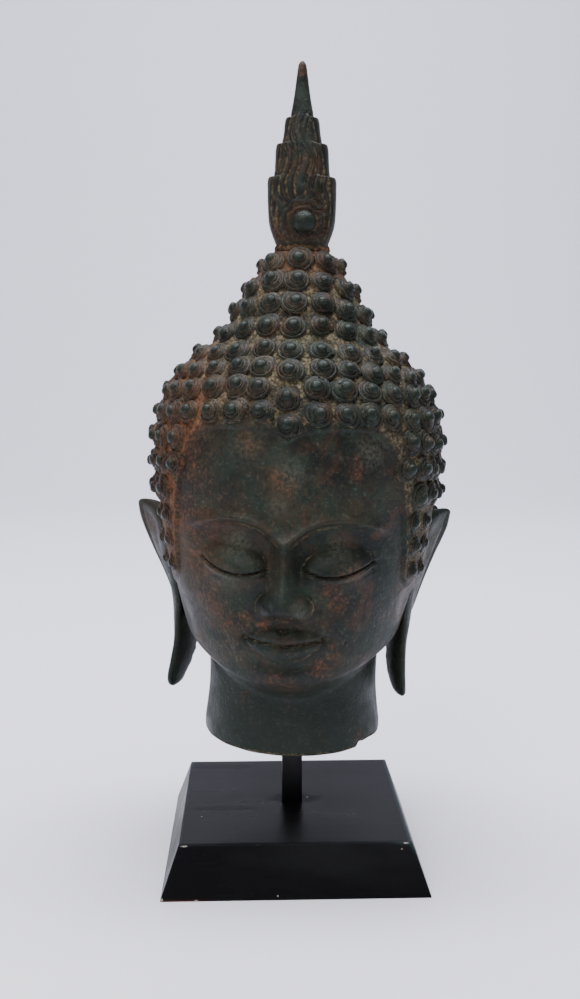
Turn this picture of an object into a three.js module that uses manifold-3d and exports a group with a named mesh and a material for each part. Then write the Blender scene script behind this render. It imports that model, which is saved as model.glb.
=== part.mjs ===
// A cast bronze Buddha head with rows of snail-shell curls, long ears and a flame finial,
// standing on a square steel post in a black wooden plinth.
// Millimetres, +Z up, the face looks towards -Y, origin in the middle of the plinth's underside.
import * as THREE from "three";
import { mergeVertices } from "three/addons/utils/BufferGeometryUtils.js";
import Module from "manifold-3d";

const wasm = await Module();
wasm.setup();

// Driving dimensions
const PLINTH_FOOT = 150;
const PLINTH_TOP = 130;
const PLINTH_HEIGHT = 28;
const POST_SIDE = 12;
const POST_IN_PLINTH = 16;
const POST_SHOWN = 46;
const POST_IN_HEAD = 45;
const CLEARANCE = 0.3;
const FINEST_EDGE = 0.02; // slivers thinner than this are closed up after a cut
const HEAD_HEIGHT = 282.5; // neck rim to the seat of the flame
const HEAD_TURN_DEG = -6.5; // the face looks a little to its right of the plinth's front
const HEAD_ROLL_DEG = 1.3;
const HEAD_BOW_DEG = 2.0;
const FLAME_HEIGHT = 102;
const CHIP_WIDTH = 9; // the chip in the neck's rim
const CHIP_HEIGHT = 3.5;
const CHIP_ANGLE_DEG = 47; // from the front towards +X

// The head is laid out in finger-widths: 25 from rim to crown, 12 from chin to hairline.
const HEAD_FINGERS = 25;
const FINGER = HEAD_HEIGHT / HEAD_FINGERS;
const CHIN = 3.85;
const FACE = 12;
const NOSE_BASE = CHIN + FACE / 3;
const BROW = CHIN + (2 * FACE) / 3;
const HAIRLINE = CHIN + FACE;
const EYE_WIDTH = 2.45;
const MOUTH = NOSE_BASE - FACE / 9;
const HAIR_STEP = 0.13; // how far the hair cap stands proud of the skin
const CURL_PITCH = 1.27;
const CURL_HEIGHT = 0.56;
const WIDOWS_PEAK = 0.66;
const SEAT_RADIUS = 1.2;

// Heights and radii, in finger-widths: [height, value]
const NECK_HALF_WIDTH = [
  [0, 4.6], [0.5, 4.64], [1.5, 4.52], [2.6, 4.42], [4, 4.42], [7, 4.6],
];
const NECK_FRONT = [[0, 4.48], [1.5, 4.36], [3, 4.25], [7, 4.3]];
const NECK_BACK = [[0, 4.48], [1.5, 4.4], [3, 4.42], [7, 4.6]];
const SKULL_HALF_WIDTH = [
  [2.6, 3.7], [3.4, 4.3], [4.2, 4.8], [5, 5.2], [6, 5.6], [8, 6.15], [9.5, 6.5], [11, 6.78],
  [12.5, 6.95], [14, 7.05], [15.2, 7.08], [16.3, 7], [17.5, 6.65], [18.5, 6.1], [19.3, 5.45],
  [20, 4.7], [20.6, 4], [21.3, 3.45], [22.3, 2.93], [23.3, 2.35], [24.3, 1.68],
  [25, SEAT_RADIUS],
];
const SKULL_FRONT = [
  [2.6, 4.7], [3.4, 5.55], [4, 6.05], [4.6, 6.35], [5.4, 6.5], [6.5, 6.62], [8, 6.7],
  [10, 6.8], [11.8, 6.95], [13.5, 7], [15, 6.92], [16.3, 6.65], [17.5, 6.25], [18.5, 5.72],
  [19.3, 5.15], [20, 4.5], [20.6, 3.92], [21.3, 3.42], [22.3, 2.9], [23.3, 2.33], [24.3, 1.66],
  [25, SEAT_RADIUS],
];
const SKULL_BACK = [
  [2.6, 4.4], [3.4, 4.5], [4.2, 4.75], [5, 5.1], [6, 5.65], [7, 6.2], [8.5, 6.8], [10, 7.2],
  [12, 7.5], [14, 7.52], [15.2, 7.42], [16.3, 7.18], [17.5, 6.68], [18.5, 6.08], [19.3, 5.4],
  [20, 4.65], [20.6, 4], [21.3, 3.45], [22.3, 2.92], [23.3, 2.34], [24.3, 1.66],
  [25, SEAT_RADIUS],
];
// The hair's lower edge, by the angle from the front in degrees: [angle, height]
const HAIR_EDGE = [
  [0, 16], [7, 16.45], [20, 16.6], [32, 16.5], [38, 16.0], [43, 15.3], [47, 14.3], [50, 13.2],
  [53, 11.7], [55.5, 10.3], [58, 9.3], [66, 8.6], [80, 8], [92, 6.6], [105, 5.1], [125, 4.3],
  [180, 4.1],
];
// Each slice of the ear at +X, in finger-widths: height, x and y of its front edge, x and y of its
// rear edge, thickness
const EAR_SLICES = [
  [2.15, 5.85, -0.6, 5.78, -0.3, 0.2], [2.4, 5.86, -0.8, 5.65, -0.05, 0.5],
  [2.9, 5.84, -1.02, 5.45, 0.45, 0.64], [3.7, 5.79, -1.1, 5.33, 0.75, 0.72],
  [5, 5.76, -1.1, 5.42, 0.95, 0.76], [6.2, 5.82, -1.1, 5.98, 1.3, 0.8],
  [7.6, 5.86, -1.12, 6.39, 1.6, 0.8], [9.3, 6.15, -1.05, 7.03, 1.8, 0.78],
  [10.8, 6.75, -0.75, 7.68, 1.55, 0.66], [11.6, 7.2, -0.35, 7.92, 1.1, 0.48],
  [12.05, 7.55, -0.05, 8.02, 0.65, 0.26],
];
// How much further out the ear at -X sits, by height
const EAR_SPREAD = [
  [2, 0.55], [2.8, 0.6], [3.7, 0.48], [5, 0.3], [6.2, 0.32], [7.6, 0.43], [9.3, 0.65],
  [10.8, 0.62], [11.6, 0.56], [12.1, 0.47],
];
const EAR_TOP = 12.4; // no curls below this height between these angles
const EAR_FRONT_DEG = 56;
const EAR_BACK_DEG = 99;
// The flame's outline: [share of its height, half width and half depth as shares of its foot's half width]
const FLAME_OUTLINE = [
  [0, 1, 0.8], [0.05, 1.16, 0.93], [0.12, 1.34, 1.03], [0.18, 1.4, 1.05], [0.32, 1.43, 1],
  [0.385, 1.39, 0.93], [0.4, 1.18, 0.92], [0.46, 1.12, 0.86], [0.56, 1.05, 0.76],
  [0.575, 0.85, 0.75], [0.62, 0.76, 0.68], [0.7, 0.67, 0.56], [0.712, 0.5, 0.53],
  [0.73, 0.46, 0.46], [0.79, 0.37, 0.37], [0.85, 0.3, 0.3], [0.93, 0.22, 0.22],
  [0.985, 0.15, 0.15], [1, 0.07, 0.07],
];
const FLAME_LEAN = 0.018; // sideways drift per unit of height, against the head's roll
const GEM_AT = 0.155; // share of the flame's height
const GEM_RADIUS = 0.47; // share of the foot's half width

// Where the head's surface has its columns of points, in degrees from the front, and their heights:
// close together on the face, on both sides of its middle, and wider apart on the rest
const FACE_COLUMNS_DEG = [3, 6, 9.5, 13, 17, 21, 25.5, 30, 35, 40, 46, 53, 61];
const REST_COLUMNS_DEG = [71, 81, 93, 108, 130, 155, 180, 205, 230, 252, 267, 279, 289];
const CORE_TOP = HAIRLINE + 1.4;
const NECK_HEIGHTS = [0, 0.3, 1.6, 2.7];
const FACE_LOW = 3.2;
const FACE_HIGH = HAIRLINE - 2.5;
const FACE_ROWS = 26;
const FOREHEAD_HEIGHTS = [14.2, 15.2, 16.2, CORE_TOP];
const REST_HEIGHTS = [0, 0.3, 1.6, 3, 4.2, 5.4, 7, 9, 11.5, 14, CORE_TOP];

const RAD = Math.PI / 180;
const TURN = 2 * Math.PI;

// A smooth curve through a table of [place, value], as a function of the place
function through(table) {
  const n = table.length;
  const slope = (i) => {
    const [a, b] = [Math.max(i - 1, 0), Math.min(i + 1, n - 1)];
    return (table[b][1] - table[a][1]) / (table[b][0] - table[a][0]);
  };
  return (place) => {
    if (place <= table[0][0]) return table[0][1];
    if (place >= table[n - 1][0]) return table[n - 1][1];
    let i = 0;
    while (place > table[i + 1][0]) i += 1;
    const [[x0, y0], [x1, y1]] = [table[i], table[i + 1]];
    const span = x1 - x0;
    const t = (place - x0) / span;
    const [t2, t3] = [t * t, t * t * t];
    return (
      y0 * (2 * t3 - 3 * t2 + 1) + y1 * (3 * t2 - 2 * t3) +
      span * (slope(i) * (t3 - 2 * t2 + t) + slope(i + 1) * (t3 - t2))
    );
  };
}

// Runs smoothly from 0 to 1 between two values, which may also fall
function step(from, to, value) {
  const t = THREE.MathUtils.clamp((value - from) / (to - from), 0, 1);
  return t * t * (3 - 2 * t);
}

const bell = (value) => Math.exp(-value * value);

const neck = { side: through(NECK_HALF_WIDTH), front: through(NECK_FRONT), back: through(NECK_BACK) };
const skull = { side: through(SKULL_HALF_WIDTH), front: through(SKULL_FRONT), back: through(SKULL_BACK) };
const hairEdge = through(HAIR_EDGE);

// Angles are in radians from the front towards +X
const degreesOffFace = (angle) => Math.abs(THREE.MathUtils.euclideanModulo(angle / RAD + 180, 360) - 180);

// 0 on the skin, 1 in the hair
function hairAt(angle, z) {
  return step(-0.12, 0.12, z - hairEdge(degreesOffFace(angle)));
}

// The carving of the face: how far it stands out at x across and z up
function browLine(x) {
  return BROW + 0.62 * Math.sin(Math.PI * Math.min(Math.max((x - 0.1) / 4.7, 0), 1)) - 0.42 * bell(x / 0.9);
}

function socket(x, z) {
  const below = browLine(x) - z;
  const open = step(0, 0.45, below) * (1 - step(1.1, 2.6, below));
  return -0.55 * open * bell((x - 1.6) / 2.3) * (1 - step(4, 5.2, x));
}

function eyelid(x, z) {
  const [across, up] = [(x - EYE_WIDTH) / (0.66 * EYE_WIDTH), (z - (BROW - 1.1)) / 1.15];
  const ball = Math.sqrt(Math.max(0, 1 - across * across - up * up));
  const slit = BROW - 1.62 - 0.34 * (1 - ((x - EYE_WIDTH) / 1.35) ** 2);
  const along = Math.abs(x - EYE_WIDTH) < 1.45 ? 1 : 0;
  return 0.6 * ball - 0.16 * along * bell((z - slit) / 0.16);
}

function nose(x, z) {
  const reach = through([[NOSE_BASE - 0.15, 0], [NOSE_BASE + 0.1, 0.55], [NOSE_BASE + 0.55, 1.5],
    [NOSE_BASE + 1.2, 1.22], [NOSE_BASE + 2.4, 0.68], [NOSE_BASE + 3.4, 0.34], [NOSE_BASE + 4.3, 0]])(z);
  const width = through([[NOSE_BASE, 0.72], [NOSE_BASE + 0.55, 0.62], [NOSE_BASE + 1.6, 0.55],
    [NOSE_BASE + 3.4, 0.46]])(z);
  const wing = 0.62 * bell((x - 0.86) / 0.42) * bell((z - NOSE_BASE - 0.42) / 0.42);
  return Math.max(0, reach) * Math.exp(-(Math.abs(x / width) ** 1.9)) + wing;
}

function mouth(x, z) {
  const corner = 1.85;
  const along = Math.max(0, 1 - (x / corner) ** 2);
  const line = MOUTH + 0.2 * (x / corner) ** 2;
  const upper = 0.42 * bell((z - line - 0.36) / 0.32) * Math.sqrt(along);
  const lower = 0.46 * bell((z - line + 0.42) / 0.34) * along;
  const parting = -0.16 * bell((z - line) / 0.14) * step(1.25, 0.9, x / corner);
  const hollow = -0.16 * bell((z - line + 1.1) / 0.3) * bell(x / 1.4);
  return upper + lower + parting + hollow;
}

function chin(x, z) {
  return 0.22 * bell((z - CHIN - 0.95) / 0.7) * bell(x / 1.25);
}

function cheek(x, z) {
  return 0.14 * bell((x - 3.3) / 1.5) * bell((z - NOSE_BASE - 0.6) / 1.7);
}

function faceRelief(x, z) {
  const side = Math.abs(x);
  const brow = 0.2 * bell((z - browLine(side)) / 0.42) * (1 - step(4, 5, side));
  const carving = brow + socket(side, z) + eyelid(side, z) + nose(side, z) + mouth(side, z);
  return carving + chin(side, z) + cheek(side, z);
}

// The head's surface, in finger-widths, at an angle from the front and a height
function skin(angle, z) {
  const [across, ahead] = [Math.sin(angle), Math.cos(angle)];
  const jaw = 3.55 + 1.7 * across * across;
  const blend = step(jaw - 0.75, jaw + 0.75, z);
  const mix = (key) => THREE.MathUtils.lerp(neck[key](z), skull[key](z), blend);
  const x = mix("side") * across;
  const y = -(ahead > 0 ? mix("front") : mix("back")) * ahead;
  const relief = ahead > 0 ? faceRelief(x, z) * (1 - hairAt(angle, z)) : 0;
  return new THREE.Vector3(x, y - relief, z);
}

// Joins two runs of points with a strip of triangles, taking the points in the order of their places
function zip(left, right, faces) {
  let [i, j] = [0, 0];
  while (i < left.length - 1 || j < right.length - 1) {
    const leftNext = i < left.length - 1 ? left[i + 1].place : Infinity;
    const rightNext = j < right.length - 1 ? right[j + 1].place : Infinity;
    if (leftNext <= rightNext) {
      faces.push(left[i].index, right[j].index, left[i + 1].index);
      i += 1;
    } else {
      faces.push(left[i].index, right[j].index, right[j + 1].index);
      j += 1;
    }
  }
}

// Closes a rim of points, anticlockwise seen from outside, with triangles round its middle
function cap(rim, points, faces) {
  const middle = new THREE.Vector3();
  rim.forEach(({ point }) => middle.addScaledVector(point, 1 / rim.length));
  const centre = points.push(middle) - 1;
  rim.forEach(({ index }, i) => faces.push(index, rim[(i + 1) % rim.length].index, centre));
}

// A closed body from columns of points set side by side round the axis, anticlockwise seen from above
function bodyOfColumns(columns) {
  const points = [];
  const faces = [];
  const runs = columns.map((column) =>
    column.map((point) => ({ point, place: point.z, index: points.push(point) - 1 })),
  );
  runs.forEach((column, i) => zip(column, runs[(i + 1) % runs.length], faces));
  cap(runs.map((column) => column[0]).reverse(), points, faces);
  cap(runs.map((column) => column.at(-1)), points, faces);
  return geometryOf(points, faces);
}

// A closed body from rings of points, bottom ring first, each anticlockwise seen from above.
// The rings may differ in their number of points if each point has its place round the ring.
function bodyOfRings(rings, turn = rings[0].length) {
  const points = [];
  const faces = [];
  const runs = rings.map((ring) => {
    const run = ring.map((point, i) => {
      return { point, place: point.place ?? i, index: points.push(point) - 1 };
    });
    return [...run, { ...run[0], place: run[0].place + turn }];
  });
  for (let i = 1; i < runs.length; i += 1) zip(runs[i], runs[i - 1], faces);
  cap(runs[0].slice(0, -1).reverse(), points, faces);
  cap(runs.at(-1).slice(0, -1), points, faces);
  return geometryOf(points, faces);
}

function geometryOf(points, faces) {
  return new THREE.BufferGeometry().setFromPoints(points).setIndex(faces);
}

function solidOf(geometry) {
  const bare = geometry.clone();
  bare.deleteAttribute("normal");
  bare.deleteAttribute("uv");
  const merged = mergeVertices(bare, 1e-4);
  return new wasm.Manifold(
    new wasm.Mesh({
      numProp: 3,
      vertProperties: new Float32Array(merged.attributes.position.array),
      triVerts: new Uint32Array(merged.index.array),
    }),
  );
}

function geometryFrom(solid) {
  const mesh = solid.simplify(FINEST_EDGE).getMesh();
  return new THREE.BufferGeometry()
    .setAttribute("position", new THREE.BufferAttribute(mesh.vertProperties, mesh.numProp))
    .setIndex(new THREE.BufferAttribute(mesh.triVerts, 1));
}

// A run of numbers from one value to another in equal steps
function run(from, to, steps) {
  return Array.from({ length: steps + 1 }, (_, i) => from + ((to - from) * i) / steps);
}

// The skull, face and neck, without the hair, up to just above the hairline
function headCore() {
  const left = FACE_COLUMNS_DEG.map((degrees) => -degrees).reverse();
  const faceHeights = [...NECK_HEIGHTS, ...run(FACE_LOW, FACE_HIGH, FACE_ROWS), ...FOREHEAD_HEIGHTS];
  const column = (degrees, heights) => heights.map((z) => skin(degrees * RAD, z));
  return bodyOfColumns([
    ...[...left, 0, ...FACE_COLUMNS_DEG].map((degrees) => column(degrees, faceHeights)),
    ...REST_COLUMNS_DEG.map((degrees) => column(degrees, REST_HEIGHTS)),
  ]);
}

function skinNormal(angle, z) {
  const reach = 0.35;
  const around = skin(angle + reach / 7, z).sub(skin(angle - reach / 7, z));
  const up = skin(angle, Math.min(z + reach, HEAD_FINGERS)).sub(skin(angle, z - reach));
  return around.cross(up).normalize();
}

// The heights of the rows of curls, one pitch apart down the side of the skull
function curlRows() {
  const rows = [];
  let z = HEAD_FINGERS - 0.5;
  while (z > hairEdge(180) + 0.5) {
    rows.push(z);
    const slope = skull.side(z - 0.5) - skull.side(z + 0.5);
    z -= CURL_PITCH / Math.hypot(1, slope);
  }
  return rows;
}

// The angle where the hair begins at a height, 0 where it goes all the way round
function hairStart(z) {
  let degrees = 0;
  while (degrees < 180 && hairEdge(degrees) > z) degrees += 0.5;
  return degrees * RAD;
}

// The hair dips in the middle of the forehead, less and less from row to row upwards
const dipAt = (angle, z) => WIDOWS_PEAK * bell(angle / 0.12) * step(HAIRLINE + 5, HAIRLINE + 1, z);

function isCurl(angle, z) {
  const degrees = degreesOffFace(angle);
  const byEar = degrees > EAR_FRONT_DEG && degrees < EAR_BACK_DEG && z < EAR_TOP;
  return !byEar && z - dipAt(degrees * RAD, z) > hairEdge(degrees) + 0.5;
}

// One ring of the hair. Each spot is its place within a curl, from -0.5 to 0.5, and its share of
// a curl's height.
function hairRing(row, z, count, spots) {
  const start = hairStart(z);
  const raised = (angle, out) => {
    const dipped = z - dipAt(Math.min(angle, TURN - angle), z);
    const point = skin(angle, dipped).addScaledVector(skinNormal(angle, dipped), out);
    point.z = Math.min(point.z, HEAD_FINGERS);
    return Object.assign(point, { place: angle });
  };
  const ring = [];
  for (let i = 0; i < count; i += 1) {
    const centre = (i * TURN) / count;
    const out = isCurl(centre, row) ? CURL_HEIGHT : 0;
    for (const [spot, share] of spots) {
      const angle = THREE.MathUtils.euclideanModulo(centre + (spot * TURN) / count, TURN);
      const inside = start === 0 || (angle > start + 0.04 && angle < TURN - start - 0.04);
      if (inside) ring.push(raised(angle, share * out + HAIR_STEP));
    }
  }
  if (start > 0) {
    ring.unshift(raised(start, -HAIR_STEP));
    ring.push(raised(TURN - start, -HAIR_STEP));
  }
  return ring.sort((a, b) => a.place - b.place);
}

// The cap of hair with its rows of curls, each curl a knob with a flat top
function hairCap() {
  const rows = curlRows();
  const valley = [[0.5, 0]];
  const knob = [[-0.2, 1], [0.2, 1], [0.5, 0]];
  const rings = [hairRing(HEAD_FINGERS, HEAD_FINGERS, 8, [[0, 0]])];
  rows.forEach((z, i) => {
    const above = i > 0 ? rows[i - 1] : z + 0.9;
    const below = i < rows.length - 1 ? rows[i + 1] : z - CURL_PITCH;
    const radius = (skull.side(z) + (skull.front(z) + skull.back(z)) / 2) / 2;
    const count = Math.round((TURN * (radius + HAIR_STEP)) / CURL_PITCH);
    rings.push(hairRing(z, z + (above - z) * 0.2, count, knob));
    rings.push(hairRing(z, z - (z - below) * 0.2, count, knob));
    rings.push(hairRing(z, (z + below) / 2, count, valley));
  });
  return bodyOfRings(rings.reverse(), TURN);
}

// side is 1 for the ear at +X and -1 for the other
function ear(side) {
  const points = 12;
  const spreadAt = through(EAR_SPREAD);
  const rings = EAR_SLICES.map(([z, frontX, frontY, rearX, rearY, thick]) => {
    const rearOut = side < 0 ? spreadAt(z) : 0;
    const frontOut = (rearOut * (1 + step(7, 5, z))) / 2;
    const [middleX, middleY] = [(frontX + rearX + frontOut + rearOut) / 2, (frontY + rearY) / 2];
    const [alongX, alongY] = [(rearX + rearOut - frontX - frontOut) / 2, (rearY - frontY) / 2];
    const length = Math.hypot(alongX, alongY);
    return Array.from({ length: points }, (_, i) => {
      const turn = (i * TURN) / points;
      const along = Math.cos(turn) * (1 + thick / 2 / length);
      const hollow = -0.24 * Math.max(0, -Math.sin(turn)) ** 4 * step(2.6, 5, z) * step(12, 10.5, z);
      const out = -Math.sin(turn) * (thick / 2) + hollow;
      const x = middleX + alongX * along + (out * alongY) / length;
      const y = middleY + alongY * along - (out * alongX) / length;
      return new THREE.Vector3(side * x, y, z);
    });
  });
  return bodyOfRings(side > 0 ? rings : rings.map((ring) => [...ring].reverse()));
}

// Fills the small pockets that are closed in where an ear lies against the hair
function withoutPockets(solid) {
  return wasm.Manifold.compose(solid.decompose().filter((body) => body.volume() > 0));
}

// The notch broken out of the neck's rim
function chip() {
  const notch = new THREE.CylinderGeometry(CHIP_HEIGHT / FINGER, CHIP_HEIGHT / FINGER, 1.6, 8);
  notch.scale(CHIP_WIDTH / CHIP_HEIGHT / 2, 1, 1).rotateZ(CHIP_ANGLE_DEG * RAD);
  const rim = skin(CHIP_ANGLE_DEG * RAD, 0);
  return notch.translate(rim.x, rim.y, 0);
}

function flameOutlineAt() {
  const foot = SEAT_RADIUS * FINGER;
  return FLAME_OUTLINE.map(([share, wide, deep]) => [share * FLAME_HEIGHT, wide * foot, deep * foot]);
}

// Stands on its own foot at z = 0
function flameGeometry() {
  const points = 20;
  const squareness = 2 / 2.4;
  const bulge = (value) => Math.sign(value) * Math.abs(value) ** squareness;
  const rings = flameOutlineAt().map(([z, wide, deep]) =>
    Array.from({ length: points }, (_, i) => {
      const turn = (i * TURN) / points;
      const x = wide * bulge(Math.cos(turn)) - FLAME_LEAN * z;
      return new THREE.Vector3(x, deep * bulge(Math.sin(turn)), z);
    }),
  );
  const foot = SEAT_RADIUS * FINGER;
  const depth = through(FLAME_OUTLINE.map(([share, , deep]) => [share, deep * foot]))(GEM_AT);
  let flame = solidOf(bodyOfRings(rings));
  for (const side of [-1, 1]) {
    const gem = new THREE.IcosahedronGeometry(GEM_RADIUS * foot, 1);
    gem.translate(0, side * depth * 0.93, GEM_AT * FLAME_HEIGHT);
    flame = flame.add(solidOf(gem));
  }
  return geometryFrom(flame);
}

function plinthGeometry() {
  const corners = [[-1, -1], [1, -1], [1, 1], [-1, 1]];
  const square = (size, z) => corners.map(([x, y]) => new THREE.Vector3((x * size) / 2, (y * size) / 2, z));
  const block = bodyOfRings([square(PLINTH_FOOT, 0), square(PLINTH_TOP, PLINTH_HEIGHT)]);
  const hole = POST_SIDE + 2 * CLEARANCE;
  const mortise = new THREE.BoxGeometry(hole, hole, 2 * (POST_IN_PLINTH + CLEARANCE));
  return geometryFrom(solidOf(block).subtract(solidOf(mortise.translate(0, 0, PLINTH_HEIGHT))));
}

function postGeometry() {
  const length = POST_IN_PLINTH + POST_SHOWN + POST_IN_HEAD;
  return new THREE.BoxGeometry(POST_SIDE, POST_SIDE, length).translate(0, 0, length / 2);
}

const part = new THREE.Group();

const bronze = new THREE.MeshStandardMaterial({ color: 0x3a3a32, roughness: 0.5, metalness: 0.6 });
const blackPaint = new THREE.MeshStandardMaterial({ color: 0x0d0e10, roughness: 0.35 });
const blackSteel = new THREE.MeshStandardMaterial({ color: 0x0b0b0c, roughness: 0.45, metalness: 0.3 });

const plinth = new THREE.Mesh(plinthGeometry(), blackPaint);
plinth.name = "plinth";
part.add(plinth);

const post = new THREE.Mesh(postGeometry(), blackSteel);
post.name = "post";
post.position.z = PLINTH_HEIGHT - POST_IN_PLINTH;
part.add(post);

// The head turns about the post where the post enters the neck
const headGroup = new THREE.Group();
headGroup.position.z = PLINTH_HEIGHT + POST_SHOWN;
headGroup.rotation.set(HEAD_BOW_DEG * RAD, HEAD_ROLL_DEG * RAD, HEAD_TURN_DEG * RAD, "ZYX");
headGroup.updateMatrix();
part.add(headGroup);

function headGeometry() {
  let solid = solidOf(headCore()).add(solidOf(hairCap()));
  solid = withoutPockets(solid.add(solidOf(ear(1))).add(solidOf(ear(-1))));
  solid = solid.subtract(solidOf(chip()));
  const head = solid.scale(FINGER);
  const hole = POST_SIDE + 2 * CLEARANCE;
  const socketHole = new THREE.BoxGeometry(hole, hole, 2 * (POST_IN_HEAD + CLEARANCE));
  socketHole.applyMatrix4(headGroup.matrix.clone().setPosition(0, 0, 0).invert());
  return geometryFrom(head.subtract(solidOf(socketHole)));
}

const head = new THREE.Mesh(headGeometry(), bronze);
head.name = "head";
headGroup.add(head);

const flame = new THREE.Mesh(flameGeometry(), bronze);
flame.name = "flame_finial";
flame.position.z = HEAD_HEIGHT + CLEARANCE;
headGroup.add(flame);

export default part;
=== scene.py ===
"""A cast bronze Buddha head with snail-shell curls, long ears and a flame on the crown, on its stand."""
import math

import bpy
import numpy as np
from bpy.props import FloatProperty, FloatVectorProperty, PointerProperty
from mathutils import Euler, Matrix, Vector, noise


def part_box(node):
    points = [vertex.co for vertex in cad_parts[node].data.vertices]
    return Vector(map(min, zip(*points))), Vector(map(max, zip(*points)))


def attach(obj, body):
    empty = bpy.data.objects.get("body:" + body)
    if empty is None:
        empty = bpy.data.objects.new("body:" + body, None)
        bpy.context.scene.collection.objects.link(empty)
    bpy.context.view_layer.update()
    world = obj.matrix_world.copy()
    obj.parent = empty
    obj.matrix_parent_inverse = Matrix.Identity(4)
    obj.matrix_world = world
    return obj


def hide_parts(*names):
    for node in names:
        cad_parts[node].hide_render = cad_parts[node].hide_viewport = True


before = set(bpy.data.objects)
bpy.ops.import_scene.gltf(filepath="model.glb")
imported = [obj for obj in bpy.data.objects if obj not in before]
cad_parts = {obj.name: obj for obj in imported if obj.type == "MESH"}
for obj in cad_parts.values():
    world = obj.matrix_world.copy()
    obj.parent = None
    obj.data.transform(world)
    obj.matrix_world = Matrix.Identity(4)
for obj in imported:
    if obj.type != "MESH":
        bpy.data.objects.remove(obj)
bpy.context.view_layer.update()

bl_info = {
    "name": "Bronze Buddha Head",
    "version": (1, 0, 0),
    "blender": (4, 5, 0),
    "location": "View3D > Sidebar > Bronze Head",
    "description": "Builds a patinated bronze head with a flame finial on a black stand",
    "category": "Add Mesh",
}

PLINTH_LOW, PLINTH_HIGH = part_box("plinth")
POST_LOW, POST_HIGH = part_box("post")

# Lengths on the head are in finger-widths: 25 from the neck's rim to the seat of the flame,
# 12 from the chin to the hairline. The angle round the head runs from the face towards +X.
HEAD_HEIGHT = 0.2825
HEAD_FINGERS = 25.0
FINGER = HEAD_HEIGHT / HEAD_FINGERS
CHIN = 3.85
FACE = 12.0
NOSE_BASE = CHIN + FACE / 3
BROW = CHIN + 2 * FACE / 3
HAIRLINE = CHIN + FACE
EYE_LEVEL = BROW - 1.6
EYE_OFF_MIDDLE = 2.45
EYE_HALF_WIDTH = 1.6
MOUTH = NOSE_BASE - FACE / 9
MOUTH_HALF_WIDTH = 1.85
HAIR_STEP = 0.13
CURL_PITCH = 1.27
CURL_HEIGHT = 0.52
WIDOWS_PEAK = 0.66
SEAT_RADIUS = 1.2
FLAME_FOOT = SEAT_RADIUS * FINGER
FLAME_HEIGHT = 0.102
CLEARANCE = 0.0003
HEAD_TILT = [math.radians(a) for a in (2.0, 1.3, -6.5)]
HEAD_TURN = np.array(Euler(HEAD_TILT, "XYZ").to_matrix()).T
RIM_ABOVE_PLINTH = 0.046
HEAD_LIFT = PLINTH_HIGH.z + RIM_ABOVE_PLINTH

NECK_HALF_WIDTH = [(0, 4.6), (0.5, 4.64), (1.5, 4.52), (2.6, 4.42), (4, 4.42), (7, 4.6)]
NECK_FRONT = [(0, 4.48), (1.5, 4.36), (3, 4.25), (7, 4.3)]
NECK_BACK = [(0, 4.48), (1.5, 4.4), (3, 4.42), (7, 4.6)]
SKULL_HALF_WIDTH = [
    (2.6, 3.7), (3.4, 4.3), (4.2, 4.8), (5, 5.2), (6, 5.6), (8, 6.15), (9.5, 6.5), (11, 6.78),
    (12.5, 6.95), (14, 7.05), (15.2, 7.08), (16.3, 7), (17.5, 6.65), (18.5, 6.1), (19.3, 5.45),
    (20, 4.7), (20.6, 4), (21.3, 3.45), (22.3, 2.93), (23.3, 2.35), (24.3, 1.68), (25, SEAT_RADIUS),
]
SKULL_FRONT = [
    (2.6, 4.7), (3.4, 5.55), (4, 6.05), (4.6, 6.35), (5.4, 6.5), (6.5, 6.62), (8, 6.7), (10, 6.8),
    (11.8, 6.95), (13.5, 7), (15, 6.92), (16.3, 6.65), (17.5, 6.25), (18.5, 5.72), (19.3, 5.15),
    (20, 4.5), (20.6, 3.92), (21.3, 3.42), (22.3, 2.9), (23.3, 2.33), (24.3, 1.66), (25, SEAT_RADIUS),
]
SKULL_BACK = [
    (2.6, 4.4), (3.4, 4.5), (4.2, 4.75), (5, 5.1), (6, 5.65), (7, 6.2), (8.5, 6.8), (10, 7.2),
    (12, 7.5), (14, 7.52), (15.2, 7.42), (16.3, 7.18), (17.5, 6.68), (18.5, 6.08), (19.3, 5.4),
    (20, 4.65), (20.6, 4), (21.3, 3.45), (22.3, 2.92), (23.3, 2.34), (24.3, 1.66), (25, SEAT_RADIUS),
]
# The hair's lower edge: (angle in degrees, height)
HAIR_EDGE = [
    (0, 16), (7, 16.45), (20, 16.6), (32, 16.5), (38, 16.0), (43, 15.3), (47, 14.3), (50, 13.2),
    (53, 11.7), (55.5, 10.3), (58, 9.3), (66, 8.6), (80, 8), (92, 6.6), (105, 5.1), (125, 4.3),
    (180, 4.1),
]
# Slices of an ear: height, x and y of the front edge, x and y of the rear edge, thickness
EAR_SLICES = [
    (2.15, 5.8, -0.6, 5.72, -0.3, 0.2), (2.4, 5.8, -0.8, 5.52, -0.05, 0.5),
    (2.9, 5.76, -1.02, 5.3, 0.45, 0.64), (3.7, 5.7, -1.1, 5.12, 0.75, 0.72),
    (5, 5.68, -1.1, 5.22, 0.95, 0.76), (6.2, 5.76, -1.1, 5.84, 1.3, 0.8),
    (7.6, 5.84, -1.12, 6.36, 1.6, 0.8), (9.3, 6.1, -1.05, 7.03, 1.8, 0.78),
    (10.8, 6.45, -0.75, 7.67, 1.55, 0.66), (11.6, 6.78, -0.35, 7.83, 1.1, 0.54),
    (12.05, 6.92, -0.05, 7.89, 0.75, 0.42),
]
# How much further out the ear at -X sits, by height
EAR_SPREAD = [
    (2, 0.55), (2.8, 0.6), (3.7, 0.48), (5, 0.3), (6.2, 0.32), (7.6, 0.43), (9.3, 0.65),
    (10.8, 0.62), (11.6, 0.56), (12.1, 0.47),
]
EAR_TOP = 12.4
EAR_FRONT_ANGLE = 56
EAR_BACK_ANGLE = 99
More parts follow.
